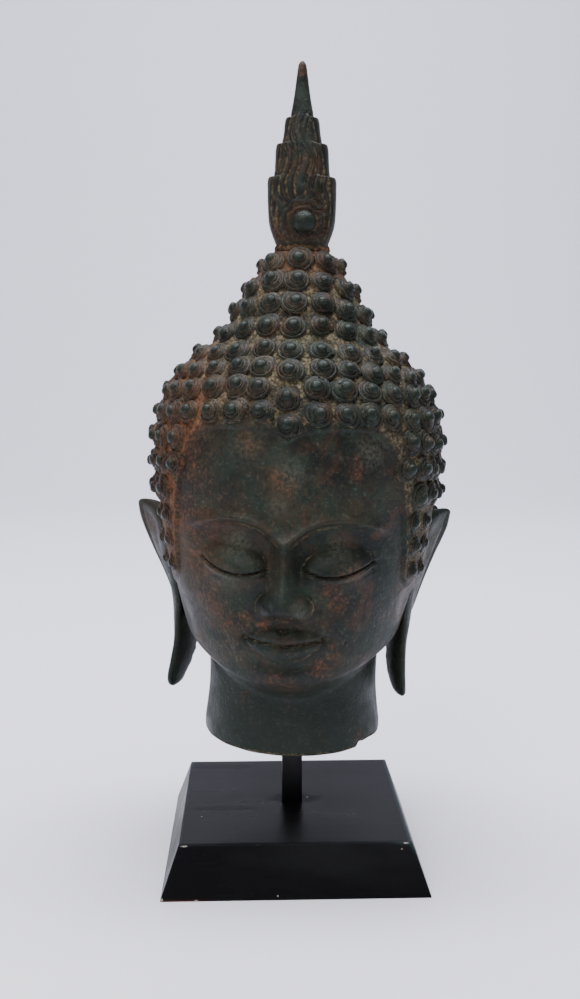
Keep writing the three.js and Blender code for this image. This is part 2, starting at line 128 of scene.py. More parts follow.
# The flame: share of its height, half width and half depth as shares of its foot's half width
FLAME_OUTLINE = [
    (0, 1, 0.8), (0.05, 1.16, 0.93), (0.12, 1.34, 1.03), (0.18, 1.4, 1.05), (0.32, 1.43, 1),
    (0.385, 1.39, 0.93), (0.4, 1.18, 0.92), (0.46, 1.12, 0.86), (0.56, 1.05, 0.76),
    (0.575, 0.85, 0.73), (0.62, 0.76, 0.66), (0.7, 0.67, 0.55), (0.712, 0.5, 0.53),
    (0.73, 0.46, 0.49), (0.79, 0.37, 0.4), (0.85, 0.3, 0.3), (0.93, 0.22, 0.22),
    (0.985, 0.15, 0.15), (1, 0.07, 0.07),
]
FLAME_LEAN = 0.018
FLAME_POINTS = 176
# 2 would make the flame's section an ellipse, and more makes it squarer
FLAME_SQUARENESS = 2.4
GEM_AT = 0.155
GEM_DROP = 0.0012
GEM_RADIUS = 0.47
GEM_FLAT = 0.85
GEM_SUNK = 0.9


def through(table, column=1):
    """A smooth curve through a table's first column and another, as a function of arrays."""
    x = np.array([row[0] for row in table], float)
    y = np.array([row[column] for row in table], float)
    before = np.maximum(np.arange(len(x)) - 1, 0)
    after = np.minimum(np.arange(len(x)) + 1, len(x) - 1)
    slope = (y[after] - y[before]) / (x[after] - x[before])

    def curve(place):
        place = np.clip(place, x[0], x[-1])
        i = np.clip(np.searchsorted(x, place) - 1, 0, len(x) - 2)
        span = x[i + 1] - x[i]
        t = (place - x[i]) / span
        ends = y[i] * (2 * t**3 - 3 * t**2 + 1) + y[i + 1] * (3 * t**2 - 2 * t**3)
        return ends + span * (slope[i] * (t**3 - 2 * t**2 + t) + slope[i + 1] * (t**3 - t**2))

    return curve


def step(start, end, value):
    """Runs smoothly from 0 to 1 between two values, which may also fall."""
    t = np.clip((value - start) / (end - start), 0, 1)
    return t * t * (3 - 2 * t)


def bell(value):
    """A smooth bump: 1 at 0 and falling away on both sides."""
    return np.exp(-value * value)


def ramp(*stretches):
    """One run of numbers from stretches of (start, end, spacing), with the last end included."""
    parts = [np.arange(start, end - spacing * 0.5, spacing) for start, end, spacing in stretches]
    return np.concatenate([*parts, [stretches[-1][1]]])


NECK = {"side": through(NECK_HALF_WIDTH), "front": through(NECK_FRONT), "back": through(NECK_BACK)}
SKULL = {
    "side": through(SKULL_HALF_WIDTH),
    "front": through(SKULL_FRONT),
    "back": through(SKULL_BACK),
}
hair_edge = through(HAIR_EDGE)


def degrees_off_face(angle):
    """How far round from the middle of the face an angle lies, 0 to 180."""
    return np.abs((np.degrees(angle) + 180) % 360 - 180)


def hair_at(angle, z):
    """0 on the skin and 1 in the hair."""
    return step(-0.09, 0.07, z - hair_edge(degrees_off_face(angle)))


def brow_line(x):
    """Height of the brow: an arch over each eye that dips towards the nose."""
    arch = 0.62 * np.sin(np.pi * np.clip((x - 0.1) / 4.7, 0, 1))
    return BROW + arch - 0.42 * bell(x / 0.9)


def brow_and_socket(x, z):
    """The brow's ridge with its crisp edge, and the hollow over the lid."""
    line = brow_line(x)
    fade = 1 - step(4, 5, x)
    ridge = 0.16 * bell((z - line) / 0.42) + 0.09 * bell((z - line) / 0.13)
    below = line - z
    hollow = step(0, 0.45, below) * (1 - step(1.1, 2.6, below))
    return ridge * fade - 0.55 * hollow * bell((x - 1.6) / 2.3) * (1 - step(4, 5.2, x))


def eye(x, z):
    """A lowered lid: a dome from the crease down to its edge, over a narrow lower lid."""
    u = (x - EYE_OFF_MIDDLE) / EYE_HALF_WIDTH
    open_ = np.clip(1 - u * u, 0, 1)
    edge = EYE_LEVEL - 0.4 * open_ + 0.12 * u
    crease = EYE_LEVEL + 0.12 * u + 0.86 * np.sqrt(open_)
    up = (z - edge) / np.maximum(crease - edge, 0.05)
    round_ = np.cos(np.pi / 2 * np.clip((up - 0.3) / 0.88, -1, 1))
    swell = 0.46 * open_**0.5
    lid = swell * np.where(up > 0, round_, 0)
    below = edge - z
    ledge = 0.06 * step(-0.02, 0.03, -below) * step(0.2, 0.1, -below)
    under = (0.8 * swell - 0.03) * np.where(below > 0, bell(below / 0.75), 0)
    lower = 0.1 * bell((below - 0.2) / 0.11) - 0.05 * bell((below - 0.42) / 0.1)
    slit = -0.2 * bell((below - 0.02) / 0.06)
    along = step(1.16, 0.96, u) * step(-1.03, -0.88, u)
    fold = -0.035 * bell((z - crease - 0.02) / 0.1) * step(1.05, 0.8, np.abs(u))
    return lid + under + (ledge + lower + slit) * along + fold


NOSE_REACH = through([
    (NOSE_BASE - 0.22, 0), (NOSE_BASE + 0.02, 0.42), (NOSE_BASE + 0.25, 0.88), (NOSE_BASE + 0.6, 1.12),
    (NOSE_BASE + 1.2, 1.08), (NOSE_BASE + 2.4, 0.74), (NOSE_BASE + 3.4, 0.42), (NOSE_BASE + 4.3, 0.08),
    (NOSE_BASE + 5, 0),
])
NOSE_WIDTH = through([
    (NOSE_BASE, 0.74), (NOSE_BASE + 0.55, 0.64), (NOSE_BASE + 1.6, 0.54), (NOSE_BASE + 3.4, 0.46),
    (NOSE_BASE + 4.6, 0.7),
])


def nose(x, z):
    """Bridge and tip, and on each side a wing, the furrow round it and a nostril."""
    bridge = np.maximum(NOSE_REACH(z), 0) * np.exp(-((x / NOSE_WIDTH(z)) ** 2.2))
    off_wing = np.hypot((x - 0.8) / 0.44, (z - NOSE_BASE - 0.46) / 0.5)
    wing = 0.7 * np.exp(-(off_wing**2.6))
    tip = 0.12 * bell(np.hypot(x, z - NOSE_BASE - 0.55) / 0.5)
    furrow = -0.08 * bell((off_wing - 1.3) / 0.2) * step(0.9, 1.25, x) * step(-0.1, 0.3, z - NOSE_BASE)
    nostril = -0.4 * bell((x - 0.46) / 0.18) * bell((z - NOSE_BASE - 0.04) / 0.1)
    return bridge + wing + tip + furrow + nostril


def mouth(x, z):
    """Closed lips with their parting, the dimples at the corners and the hollow below."""
    along = x / MOUTH_HALF_WIDTH
    u = np.clip(along, 0, 1)
    open_ = np.clip(1 - u * u, 0, 1)
    line = MOUTH + 0.2 * u * u - 0.05 * bell(x / 0.3)
    bow = 1 - 0.14 * bell(x / 0.2) + 0.06 * bell((x - 0.48) / 0.25)
    up = (z - line) / (0.66 * bow * open_**0.6 + 0.02)
    down = (line - z) / (0.82 * open_**0.75 + 0.02)
    upper = np.where((up > 0) & (up < 1.3), 0.34 * (1 - np.clip(up, 0, 1) ** 3) ** 0.6, 0)
    lower = np.where((down >= 0) & (down < 1.3), 0.4 * (1 - np.clip(down, 0, 1) ** 3) ** 0.6, 0)
    edge = 0.07 * bell((up - 1) / 0.1) + 0.06 * bell((down - 1) / 0.08)
    parting = -0.22 * bell((z - line) / 0.08) - 0.06 * bell((z - line) / 0.25)
    full = open_**0.5 * step(1.02, 0.9, along)
    dimple = -0.1 * bell((x - MOUTH_HALF_WIDTH - 0.12) / 0.22) * bell((z - MOUTH - 0.2) / 0.22)
    hollow = -0.16 * bell((z - line + 1.15) / 0.3) * bell(x / 1.4)
    swell = 0.16 * bell((z - MOUTH) / 1.3) * bell(x / 2.3)
    lips = (upper + lower + edge) * full + parting * step(1.12, 0.95, along)
    return lips + dimple + hollow + swell


def lip_groove(x, z):
    """The groove between the nose and the upper lip."""
    between = step(MOUTH + 0.5, MOUTH + 0.75, z) * step(NOSE_BASE + 0.02, NOSE_BASE - 0.2, z)
    return (-0.05 * bell(x / 0.17) + 0.03 * bell((x - 0.36) / 0.14)) * between


def cheek_and_chin(x, z):
    """Low swellings of the cheeks and the chin."""
    chin = 0.24 * bell((z - CHIN - 1.0) / 0.72) * bell(x / 1.25)
    cheek = 0.14 * bell((x - 3.3) / 1.5) * bell((z - NOSE_BASE - 0.6) / 1.7)
    return chin + cheek


# Casting flaws: angle in degrees, height, radius, depth
PITS = [
    (16.5, 15.75, 0.17, 0.1), (17.2, 15.5, 0.1, 0.06), (14.6, 15.62, 0.08, 0.05),
    (18.5, 11.2, 0.1, 0.07), (17.3, 10.9, 0.08, 0.05), (-31, 5.9, 0.06, 0.05), (30, 6.5, 0.09, 0.07),
    (-27, 8.1, 0.07, 0.04), (36, 9.5, 0.06, 0.04),
]
# Rust stains on the skin: angle in degrees, height, radius, strength
RUST_STAINS = [
    (19.5, 9.15, 0.45, 1), (23, 8.5, 0.45, 1), (-25.5, 7.3, 0.45, 0.7), (-17.5, 7.6, 0.5, 0.7),
    (-9.5, 7.4, 0.42, 1), (20.5, 5.2, 0.5, 0.9), (25.5, 5.6, 0.38, 0.8), (-2.5, 14.4, 0.45, 0.8),
    (1.5, 14, 0.35, 0.7), (27, 14.8, 0.36, 1), (26, 15.25, 0.28, 0.8), (-41, 14.5, 1.0, 0.7),
    (-46.5, 12, 1.3, 0.8), (-44, 10, 1.3, 0.8), (-39.5, 8.6, 1.0, 0.65), (-33, 11, 0.7, 0.35),
    (27, 10, 0.5, 0.6), (4, 4.1, 0.6, 0.5), (-5, 4.7, 0.6, 0.5), (-15.5, 16, 0.5, 0.6),
    (24, 6.3, 0.14, 1), (-31, 9.6, 0.4, 0.4), (52, 0.6, 0.2, 0.7),
]
# Pale spots in the same columns: pale powder, except that the spots over the lids are painted sheen and
# those on the forehead are powder with painted sheen
POWDER_AND_SHEEN_SPOTS = [
    (33, 15.6, 0.7, 0.75), (30, 16, 0.45, 0.6), (-20, 11.2, 0.7, 0.7), (21, 11.2, 0.6, 0.6),
    (-17, 15.6, 0.8, 0.3), (2, 14.7, 0.8, 0.55), (-3, 13.2, 0.5, 0.5), (28, 9.9, 0.6, 0.5),
    (-25, 9.6, 0.6, 0.5), (8, 8.3, 0.3, 0.7),
]
# Places rubbed bare of dirt: the lids, the nose, the lips and one side of the forehead
RUBBED = [
    (-17, 10.6, 1.1, 0.7), (17, 10.6, 1.1, 0.7), (0, 9.6, 0.5, 0.8), (0, 8.6, 0.6, 0.8),
    (0, 11, 0.45, 0.6), (-24, 14.6, 1.2, 0.5), (0, 6.2, 1.2, 0.35),
]
SKIN_MARKS = {"rust": RUST_STAINS, "pale": POWDER_AND_SHEEN_SPOTS, "bare": RUBBED}


def marked(marks, angle, z):
    """How strongly marks from a list cover points of the skin."""
    x, _ = scalp(angle, z)
    cover = np.zeros_like(z)
    for degrees, height, radius, strength in marks:
        middle, _ = scalp(np.radians(degrees), height)
        cover = np.maximum(cover, strength * bell(np.hypot(x - middle, z - height) / radius))
    return cover * (np.cos(angle) > 0)


def pitted(angle, z):
    """How far casting flaws and a scratch sink the skin, as a negative depth."""
    worn = np.zeros_like(z)
    for degrees, height, radius, depth in PITS:
        reach = np.hypot((np.degrees(angle) - degrees) * 0.12, z - height) / radius
        worn -= depth * bell(reach)
    scratch = (np.degrees(angle) - 12.6) / 4.2
    worn -= 0.05 * bell((z - 15.6 - 0.12 * scratch) / 0.05) * step(1, 0.6, np.abs(scratch))
    return worn


def face_relief(x, z):
    """How far the carving of the face stands out, at x across and z up."""
    side = np.abs(x)
    carving = brow_and_socket(side, z) + eye(side, z) + nose(side, z) + mouth(side, z)
    return carving + lip_groove(side, z) + cheek_and_chin(side, z)


def scalp(angle, z):
    """The bare form of skull and neck, without carving."""
    across, ahead = np.sin(angle), np.cos(angle)
    jaw = 3.55 + 1.7 * across**2
    blend = step(jaw - 0.75, jaw + 0.75, z)
    width, front, back = [NECK[key](z) * (1 - blend) + SKULL[key](z) * blend for key in NECK]
    return width * across, -np.where(ahead > 0, front, back) * ahead


def skin(angle, z):
    """Points of the head's surface."""
    angle, z = np.broadcast_arrays(np.asarray(angle, float), np.asarray(z, float))
    x, y = scalp(angle, z)
    hair = hair_at(angle, z)
    carved = (face_relief(x, z) + pitted(angle, z)) * (1 - hair) * (np.cos(angle) > 0)
    grown = HAIR_STEP * hair
    return np.stack([x + grown * np.sin(angle), y - grown * np.cos(angle) - carved, z], -1)


def hollow_of(angle, z):
    """How deep a point of the face lies below its surroundings, from 0 to 1."""
    x, _ = scalp(angle, z)
    reach = 0.16
    around = sum(
        face_relief(x + reach * dx, z + reach * dz) for dx, dz in ((1, 0), (-1, 0), (0, 1), (0, -1))
    )
    return np.clip((around / 4 - face_relief(x, z)) / 0.09 - 0.12, 0, 1) * (np.cos(angle) > 0)


def place_head(points):
    """Finger-widths in the head's own frame to metres in the row frame."""
    return np.asarray(points, float) * FINGER @ HEAD_TURN + np.array([0, 0, HEAD_LIFT])


def place_flame(points):
    """Metres above the flame's foot to metres in the row frame."""
    lifted = np.asarray(points, float) + np.array([0, 0, HEAD_HEIGHT + CLEARANCE])
    return lifted @ HEAD_TURN + np.array([0, 0, HEAD_LIFT])


def lace(left, right):
    """Faces between two runs of (places, indices), left and right as seen from outside."""
    (left_places, left_points), (right_places, right_points) = left, right
    if len(left_places) == len(right_places) and np.allclose(left_places, right_places):
        return [
            (left_points[i], right_points[i], right_points[i + 1], left_points[i + 1])
            for i in range(len(left_points) - 1)
        ]
    faces = []
    i, j = 0, 0
    while i < len(left_points) - 1 or j < len(right_points) - 1:
        next_left = left_places[i + 1] if i < len(left_points) - 1 else math.inf
        next_right = right_places[j + 1] if j < len(right_points) - 1 else math.inf
        if next_left <= next_right:
            faces.append((left_points[i], right_points[j], left_points[i + 1]))
            i += 1
        else:
            faces.append((left_points[i], right_points[j], right_points[j + 1]))
            j += 1
    return faces


def tube_faces(rings, count):
    """Faces of a tube from rings of points, closed at both ends."""
    faces = []
    for k in range(rings - 1):
        for i in range(count):
            j = (i + 1) % count
            faces.append((k * count + i, k * count + j, (k + 1) * count + j, (k + 1) * count + i))
    return faces + [tuple(range(count))[::-1], tuple(range((rings - 1) * count, rings * count))]


def set_mark(mesh, name, values):
    """Gives each point of a mesh a number that its material reads."""
    mesh.attributes.new(name, "FLOAT", "POINT").data.foreach_set("value", values)


class Shell:
    """Points, faces and marks of one piece, gathered from several closed shells."""

    def __init__(self):
        self.points, self.faces, self.count = [], [], 0
        self.marks = {"hollow": [], "rust": [], "pale": [], "bare": []}

    def add(self, points, faces, **marks):
        """Takes in one closed shell; a mark that isn't given is 0 all over it."""
        self.points.append(np.asarray(points, float))
        self.faces += [tuple(int(k) + self.count for k in face) for face in faces]
        for name, values in self.marks.items():
            values.append(np.broadcast_to(marks.get(name, 0.0), len(points)).astype(float))
        self.count += len(points)

    def piece(self, name):
        """Makes one object of the gathered shells, with their marks."""
        mesh = bpy.data.meshes.new(name)
        mesh.from_pydata(np.concatenate(self.points).tolist(), [], self.faces)
        mesh.validate()
        for key, values in self.marks.items():
            set_mark(mesh, key, np.concatenate(values))
        mesh.shade_smooth()
        obj = bpy.data.objects.new(name, mesh)
        bpy.context.scene.collection.objects.link(obj)
        return obj


def skin_columns():
    """Angles round the head, each with its own run of heights: fine on the face, coarse elsewhere."""
    face_half = ramp((0.55, 32, 0.58), (32, 64, 0.9))
    fine_angles = np.concatenate([-face_half[::-1], [0], face_half])
    fine_heights = ramp(
        (0.3, 1.5, 0.3), (1.5, 3, 0.2), (3, 5.5, 0.1), (5.5, 8.9, 0.072), (8.9, 9.6, 0.1),
        (9.6, 12.9, 0.072), (12.9, 15.2, 0.12), (15.2, 17, 0.08), (17, 24.9, 0.32),
    )
    coarse_angles = ramp((67, 293, 2.9))
    coarse_heights = ramp((0.3, 3, 0.35), (3, 24.9, 0.27))
    columns = [(angle, fine_heights) for angle in fine_angles]
    return columns + [(angle, coarse_heights) for angle in coarse_angles]


CHIP_ANGLE = 51.0
RIM_ROUND = 0.28
RIM_DIRT = 0.6
HOLLOW_RISE = 0.9


def broken_rim(angle):
    """How far the neck's rim is broken away at an angle, in finger-widths."""
    past = np.degrees(angle) - CHIP_ANGLE
    chip = 0.2 * step(-1, 1.5, past) * step(38, 12, past)
    notch = 0.08 * bell((past - 4) / 2)
    wear = 0.012 * np.sin(angle * 13) * np.sin(angle * 5 + 1)
    return chip + notch + wear


def neck_rim(angle, lift):
    """A column of points from the hollow under the neck to the outside of its rolled rim."""
    rim = skin(angle, RIM_ROUND)
    turn = np.linspace(0.15, 1.25, 4)
    inward = RIM_ROUND * (1 - np.sin(turn))
    low = RIM_ROUND * (1 - np.cos(turn)) + lift
    scale = 1 - inward / np.hypot(rim[0], rim[1])
    rounding = np.stack([rim[0] * scale, rim[1] * scale, low], -1)
    inside = np.array([
        [0.55, 0.55, HOLLOW_RISE], [0.86, 0.86, HOLLOW_RISE * 0.8], [0.9, 0.9, lift + 0.02],
    ])
    return np.concatenate([inside * [rim[0], rim[1], 1], rounding])


def dirt_at(angle, z):
    """How much earth lies on the skin: in carved hollows, and under the hair but less by the ears."""
    off = degrees_off_face(angle)
    carved = np.where(z > 2, hollow_of(angle, z), 0)
    hair = hair_at(angle, z) * (0.3 + 0.7 * step(0.2, 0.7, z - hair_edge(off)))
    by_ear = step(42, 50, off) * step(85, 75, off) * step(13.5, 12.4, z)
    return np.maximum(carved, hair * (1 - 0.3 * by_ear))


def head_skin(shell):
    """Face, neck and scalp as one closed shell, hollowed a little under the neck."""
    runs, points, count = [], [], 0
    marks = {name: [] for name in ("hollow", *SKIN_MARKS)}
    for degrees, heights in skin_columns():
        angle = math.radians(degrees)
        lift = broken_rim(angle)
        rim = neck_rim(angle, lift)
        wall = skin(angle, heights + lift * step(2, 0.3, heights))
        places = np.concatenate([np.linspace(-3, -0.1, len(rim)), heights])
        runs.append((places, np.arange(count, count + len(places))))
        points += [rim, wall]
        count += len(places)
        marks["hollow"] += [np.full(len(rim), RIM_DIRT), dirt_at(angle, heights)]
        for name, spots in SKIN_MARKS.items():
            marks[name] += [np.zeros(len(rim)), marked(spots, angle, heights)]
    faces = []
    for i, run in enumerate(runs):
        faces += lace(run, runs[(i + 1) % len(runs)])
    for end, height in ((0, HOLLOW_RISE), (-1, HEAD_FINGERS - 0.02)):
        points.append([[0, 0, height]])
        for name, values in marks.items():
            values.append([float(name == "hollow")])
        ring = [run[1][end] for run in runs]
        order = ring[::-1] if end == 0 else ring
        faces += [(order[i], order[(i + 1) % len(order)], count) for i in range(len(order))]
        count += 1
    marks = {name: np.concatenate(values) for name, values in marks.items()}
    shell.add(place_head(np.concatenate(points)), faces, **marks)


def curl_rows():
    """Heights of the rows of curls, one pitch apart down the side of the skull."""
    rows = []
    z = HEAD_FINGERS - 0.5
    while z > hair_edge(180):
        rows.append(z)
        slope = SKULL["side"](z - 0.5) - SKULL["side"](z + 0.5)
        z -= CURL_PITCH / math.hypot(1, slope)
    return rows


def dip_at(angle, z):
    """How far a row hangs lower at an angle: by a point over the brow, and towards the back."""
    off = degrees_off_face(angle)
    peak = WIDOWS_PEAK * bell(angle / 0.12) * step(HAIRLINE + 5, HAIRLINE + 1, z)
    droop = 0.5 * step(10, 80, off) + 0.35 * step(80, 150, off)
    return peak + droop * step(26.5, 22.5, z)


def curl_places():
    """(angle, height, foot radius, height above the scalp) of every curl."""
    places = []
    for z in curl_rows():
        radius = (SKULL["side"](z) + (SKULL["front"](z) + SKULL["back"](z)) / 2) / 2 + HAIR_STEP
        count = round(2 * math.pi * radius / CURL_PITCH)
        foot = 0.58 * min(2 * math.pi * radius / count, CURL_PITCH)
        for i in range(count):
            angle = (i * 2 * math.pi / count + math.pi) % (2 * math.pi) - math.pi
            off = abs(math.degrees(angle))
            height = z - dip_at(angle, z)
            by_ear = EAR_FRONT_ANGLE - 7 < off < EAR_BACK_ANGLE and height < EAR_TOP
            if by_ear and off < 77 and height > hair_edge(off) + 0.35:
                places.append((angle, height, 0.74 * foot, 0.62 * CURL_HEIGHT))
            if not by_ear and height > hair_edge(off) + 0.42:
                places.append((angle, height, foot, CURL_HEIGHT))
    return places


CURL_TURNS = 2
CURL_SIDES = 18
# How far the rope moves in and up with each turn, and how deep a curl reaches into the scalp
COIL_INWARD = 0.27
COIL_UPWARD = 0.17
CURL_ROOT = -0.7


def curl_shape():
    """One curl of unit foot radius and unit height: a rope wound up in turns to a round knob.

    Its points are written as radius, height and how hollow they are.
    """
    runs, points, hollow = [], [], []
    for i in range(CURL_SIDES):
        turn = 2 * math.pi * i / CURL_SIDES
        column = [(1.0, CURL_ROOT, 1.0)]
        for coil in range(CURL_TURNS):
            s = coil + i / CURL_SIDES
            radius = 1 - COIL_INWARD * s
            low = COIL_UPWARD * s - 0.02 if coil else 0.0
            high = 0.24 + COIL_UPWARD * s
            column.append((radius, low, 0.75))
            column.append((radius - 0.01, 0.35 * low + 0.65 * high, 0.25))
            column.append((radius - 0.11, high, 0.0))
        column += [(0.4, 0.5, 0.6), (0.37, 0.76, 0.1), (0.24, 0.95, 0.0)]
        runs.append(list(range(len(points), len(points) + len(column))))
        points += [(r * math.cos(turn), r * math.sin(turn), h) for r, h, _ in column]
        hollow += [c[2] for c in column]
    faces = []
    places = list(range(len(runs[0])))
    for i, run in enumerate(runs[:-1]):
        faces += lace((places, run), (places, runs[i + 1]))
    # The last column meets the next turn of the first
    next_turn = [place - 3.5 if 3 < place < 7 else place for place in places]
    faces += lace((places, runs[-1]), (next_turn, runs[0]))
    top = len(points)
    points += [(0, 0, 1.0), (0, 0, CURL_ROOT)]
    hollow += [0.0, 1.0]
    for i in range(CURL_SIDES):
        after = (i + 1) % CURL_SIDES
        faces.append((runs[i][-1], runs[after][-1], top))
        faces.append((runs[after][0], runs[i][0], top + 1))
    return np.array(points, float), faces, np.array(hollow)


def curls(shell):
    """Copies the curl to every place on the hair, each turned, leant and sized a little differently."""
    points, faces, hollow = curl_shape()
    random = np.random.default_rng(7)
    reach = 0.35
    for angle, z, wide, tall in curl_places():
        angle += random.normal(0, 0.012)
        z += random.normal(0, 0.045)
        aside = reach / 7
        heights = [z, z, min(z + reach, HEAD_FINGERS), z - reach]
        ends = skin([angle + aside, angle - aside, angle, angle], heights)
        normal = np.cross(ends[0] - ends[1], ends[2] - ends[3])
        normal += random.normal(0, 0.07, 3) * np.linalg.norm(normal)
        normal /= np.linalg.norm(normal)
        side = np.cross([0, 0, 1.0], normal)
        side /= np.linalg.norm(side)
        up = np.cross(normal, side)
        wide *= random.uniform(0.9, 1.06)
        tall *= random.uniform(0.8, 1.04)
        spin = random.uniform(0, 2 * math.pi)
        cos, sin = math.cos(spin), math.sin(spin)
        flat = points[:, :2] @ np.array([[cos, sin], [-sin, cos]]) * wide
        flat += random.normal(0, 0.06, 2) * wide * np.maximum(points[:, 2:], 0)
        local = np.column_stack([flat, points[:, 2] * tall])
        placed = place_head(skin(angle, z) + local @ np.array([side, up, normal]))
        shell.add(placed, faces, hollow=hollow, bare=step(0.45, 0.78, points[:, 2]))


EAR_FRONT_X, EAR_FRONT_Y, EAR_REAR_X, EAR_REAR_Y, EAR_THICK = [
    through(EAR_SLICES, column) for column in range(1, 6)
]
EAR_POINTS = 44
EAR_ROUND = 0.12
EAR_TOP_ROUND = 0.32
EAR_BOWL = 0.21
EAR_GROOVE = 0.14
ear_spread = through(EAR_SPREAD)


def ear(shell, side):
    """One ear, side 1 for the one at +X, with a rolled rim and a lobe broken along its inner edge."""
    low, high = EAR_SLICES[0][0], EAR_SLICES[-1][0]
    heights = ramp(
        (low, low + EAR_ROUND, 0.024), (low + EAR_ROUND, 11.4, 0.1),
        (11.4, high - EAR_TOP_ROUND, 0.06), (high - EAR_TOP_ROUND, high, 0.028),
    )
    turn = np.linspace(0, 2 * np.pi, EAR_POINTS, endpoint=False)
    rings, hollow = [], []
    for z in heights:
        rear_out = ear_spread(z) if side < 0 else 0
        front_out = rear_out * (1 + step(7, 5, z)) / 2
        front = np.array([EAR_FRONT_X(z) + front_out, EAR_FRONT_Y(z)])
        rear = np.array([EAR_REAR_X(z) + rear_out, EAR_REAR_Y(z)])
        torn = 0.34 * abs(noise.noise((z * 1.9, side * 3.0, 0.5)))
        torn += 0.2 * abs(noise.noise((z * 5.1, side, 2.5)))
        torn *= step(2.3, 2.8, z) * step(6.4, 5.2, z)
        middle, half = (front + rear) / 2, (rear - front) / 2
        length = np.hypot(*half)
        to_end = np.clip(min((z - low) / EAR_ROUND, (high - z) / EAR_TOP_ROUND), 0, 1)
        ease = 0.25 + 0.75 * math.sqrt(1 - (1 - to_end) ** 2)
        least = 0.6 - 0.35 * step(7, 8, z)
        thick = EAR_THICK(z) * ease
        along = np.cos(turn) * (1 + thick / 2 / length) * (least + (1 - least) * ease)
        along = np.where(along > 0, along - torn * np.clip(along, 0, 1) / length, along)
        out = -np.sin(turn) * (thick / 2)
        outer = np.clip(-np.sin(turn) * 3, 0, 1)
        inside = step(2.6, 5, z) * step(12, 10.5, z)
        bowl = bell(along / 0.5) * inside
        groove = bell((along - 0.66) / 0.1) * step(6, 7.5, z) * step(12, 11.4, z)
        rim = 0.06 * bell((along - 0.92) / 0.16) * step(5, 7.5, z)
        out = out + (rim - EAR_BOWL * bowl - EAR_GROOVE * groove) * outer
        x = middle[0] + half[0] * along + out * half[1] / length
        y = middle[1] + half[1] * along - out * half[0] / length
        rings.append(np.stack([side * x, y, np.full_like(x, z)], -1))
        deep = np.maximum(0.7 * groove, 2.3 * EAR_BOWL * bowl) * outer
        hollow.append(np.maximum(deep, step(0.02, 0.12, torn) * (along > 0.6) * 0.7))
    faces = [face if side > 0 else face[::-1] for face in tube_faces(len(rings), EAR_POINTS)]
    shell.add(place_head(np.concatenate(rings)), faces, hollow=np.concatenate(hollow), bare=0.8)


LINE_PITCH = 0.0036
WAVE_HEIGHT = 0.0021
WAVE_LENGTH = 0.031
GEM_SIDE = 0.002
# Depths of the carving as shares of the flame's thickness, and how far a ledge dips at a tip
LINE_DEPTH = 0.1
BORDER_DEPTH = 0.09
INSET_DEPTH = 0.035
LEDGE_DIP = 0.0021
# The smooth tongues along both edges: where their tips are, as shares of the height, and the half
# width inside them, as (share of the height, share of the foot's half width)
TONGUE_TIPS = (0.3925, 0.5675, 0.706)
INSIDE_TONGUES = [
    [(0, 0.7), (0.06, 1.0), (0.2, 1.22), (0.39, 1.14)],
    [(0.39, 1.0), (0.45, 0.93), (0.57, 0.8)],
    [(0.56, 0.68), (0.6, 0.6), (0.71, 0.42)],
]


def inside_tongues(share):
    """Where the smooth tongues begin at a share of the flame's height, out of reach above the last."""
    for tip, table in zip(TONGUE_TIPS, INSIDE_TONGUES):
        if share < tip:
            return float(through(table)(share))
    return math.inf


def flame_lines(x, z, gem_height, gem_radius):
    """The carved lines: rings round the gem that open upwards and rise in waves to the tips."""
    above = z - gem_height
    ring = np.hypot(x - GEM_SIDE, above)
    rise = np.maximum(above, 0)
    wave = WAVE_HEIGHT * np.sin(rise * 2 * np.pi / WAVE_LENGTH + 0.9) * step(0.003, 0.014, rise)
    wave += GEM_SIDE * step(0.05, 0, rise)
    across = (x - wave) * (0.82 + 0.35 * step(0.02, 0.06, rise))
    flow = np.hypot(across, np.where(above < 0, above, rise * np.exp(-rise / 0.006)))
    # A tongue curls over the gem from its left and ends on its right
    past_top = np.degrees(np.arctan2(x - GEM_SIDE, above))
    lines_out = (ring - gem_radius) / LINE_PITCH
    tongue = step(70, 40, past_top) * step(2.4, 1.7, lines_out)
    place = flow * (1 - tongue) + ring * tongue + 0.0004 * np.sin(z * 310) * np.sin(x * 700 + 1)
    groove = (0.5 - 0.5 * np.cos(2 * np.pi * (place - gem_radius - 0.0016) / LINE_PITCH)) ** 2.2
    return groove * step(gem_radius - 0.0004, gem_radius + 0.0004, ring)


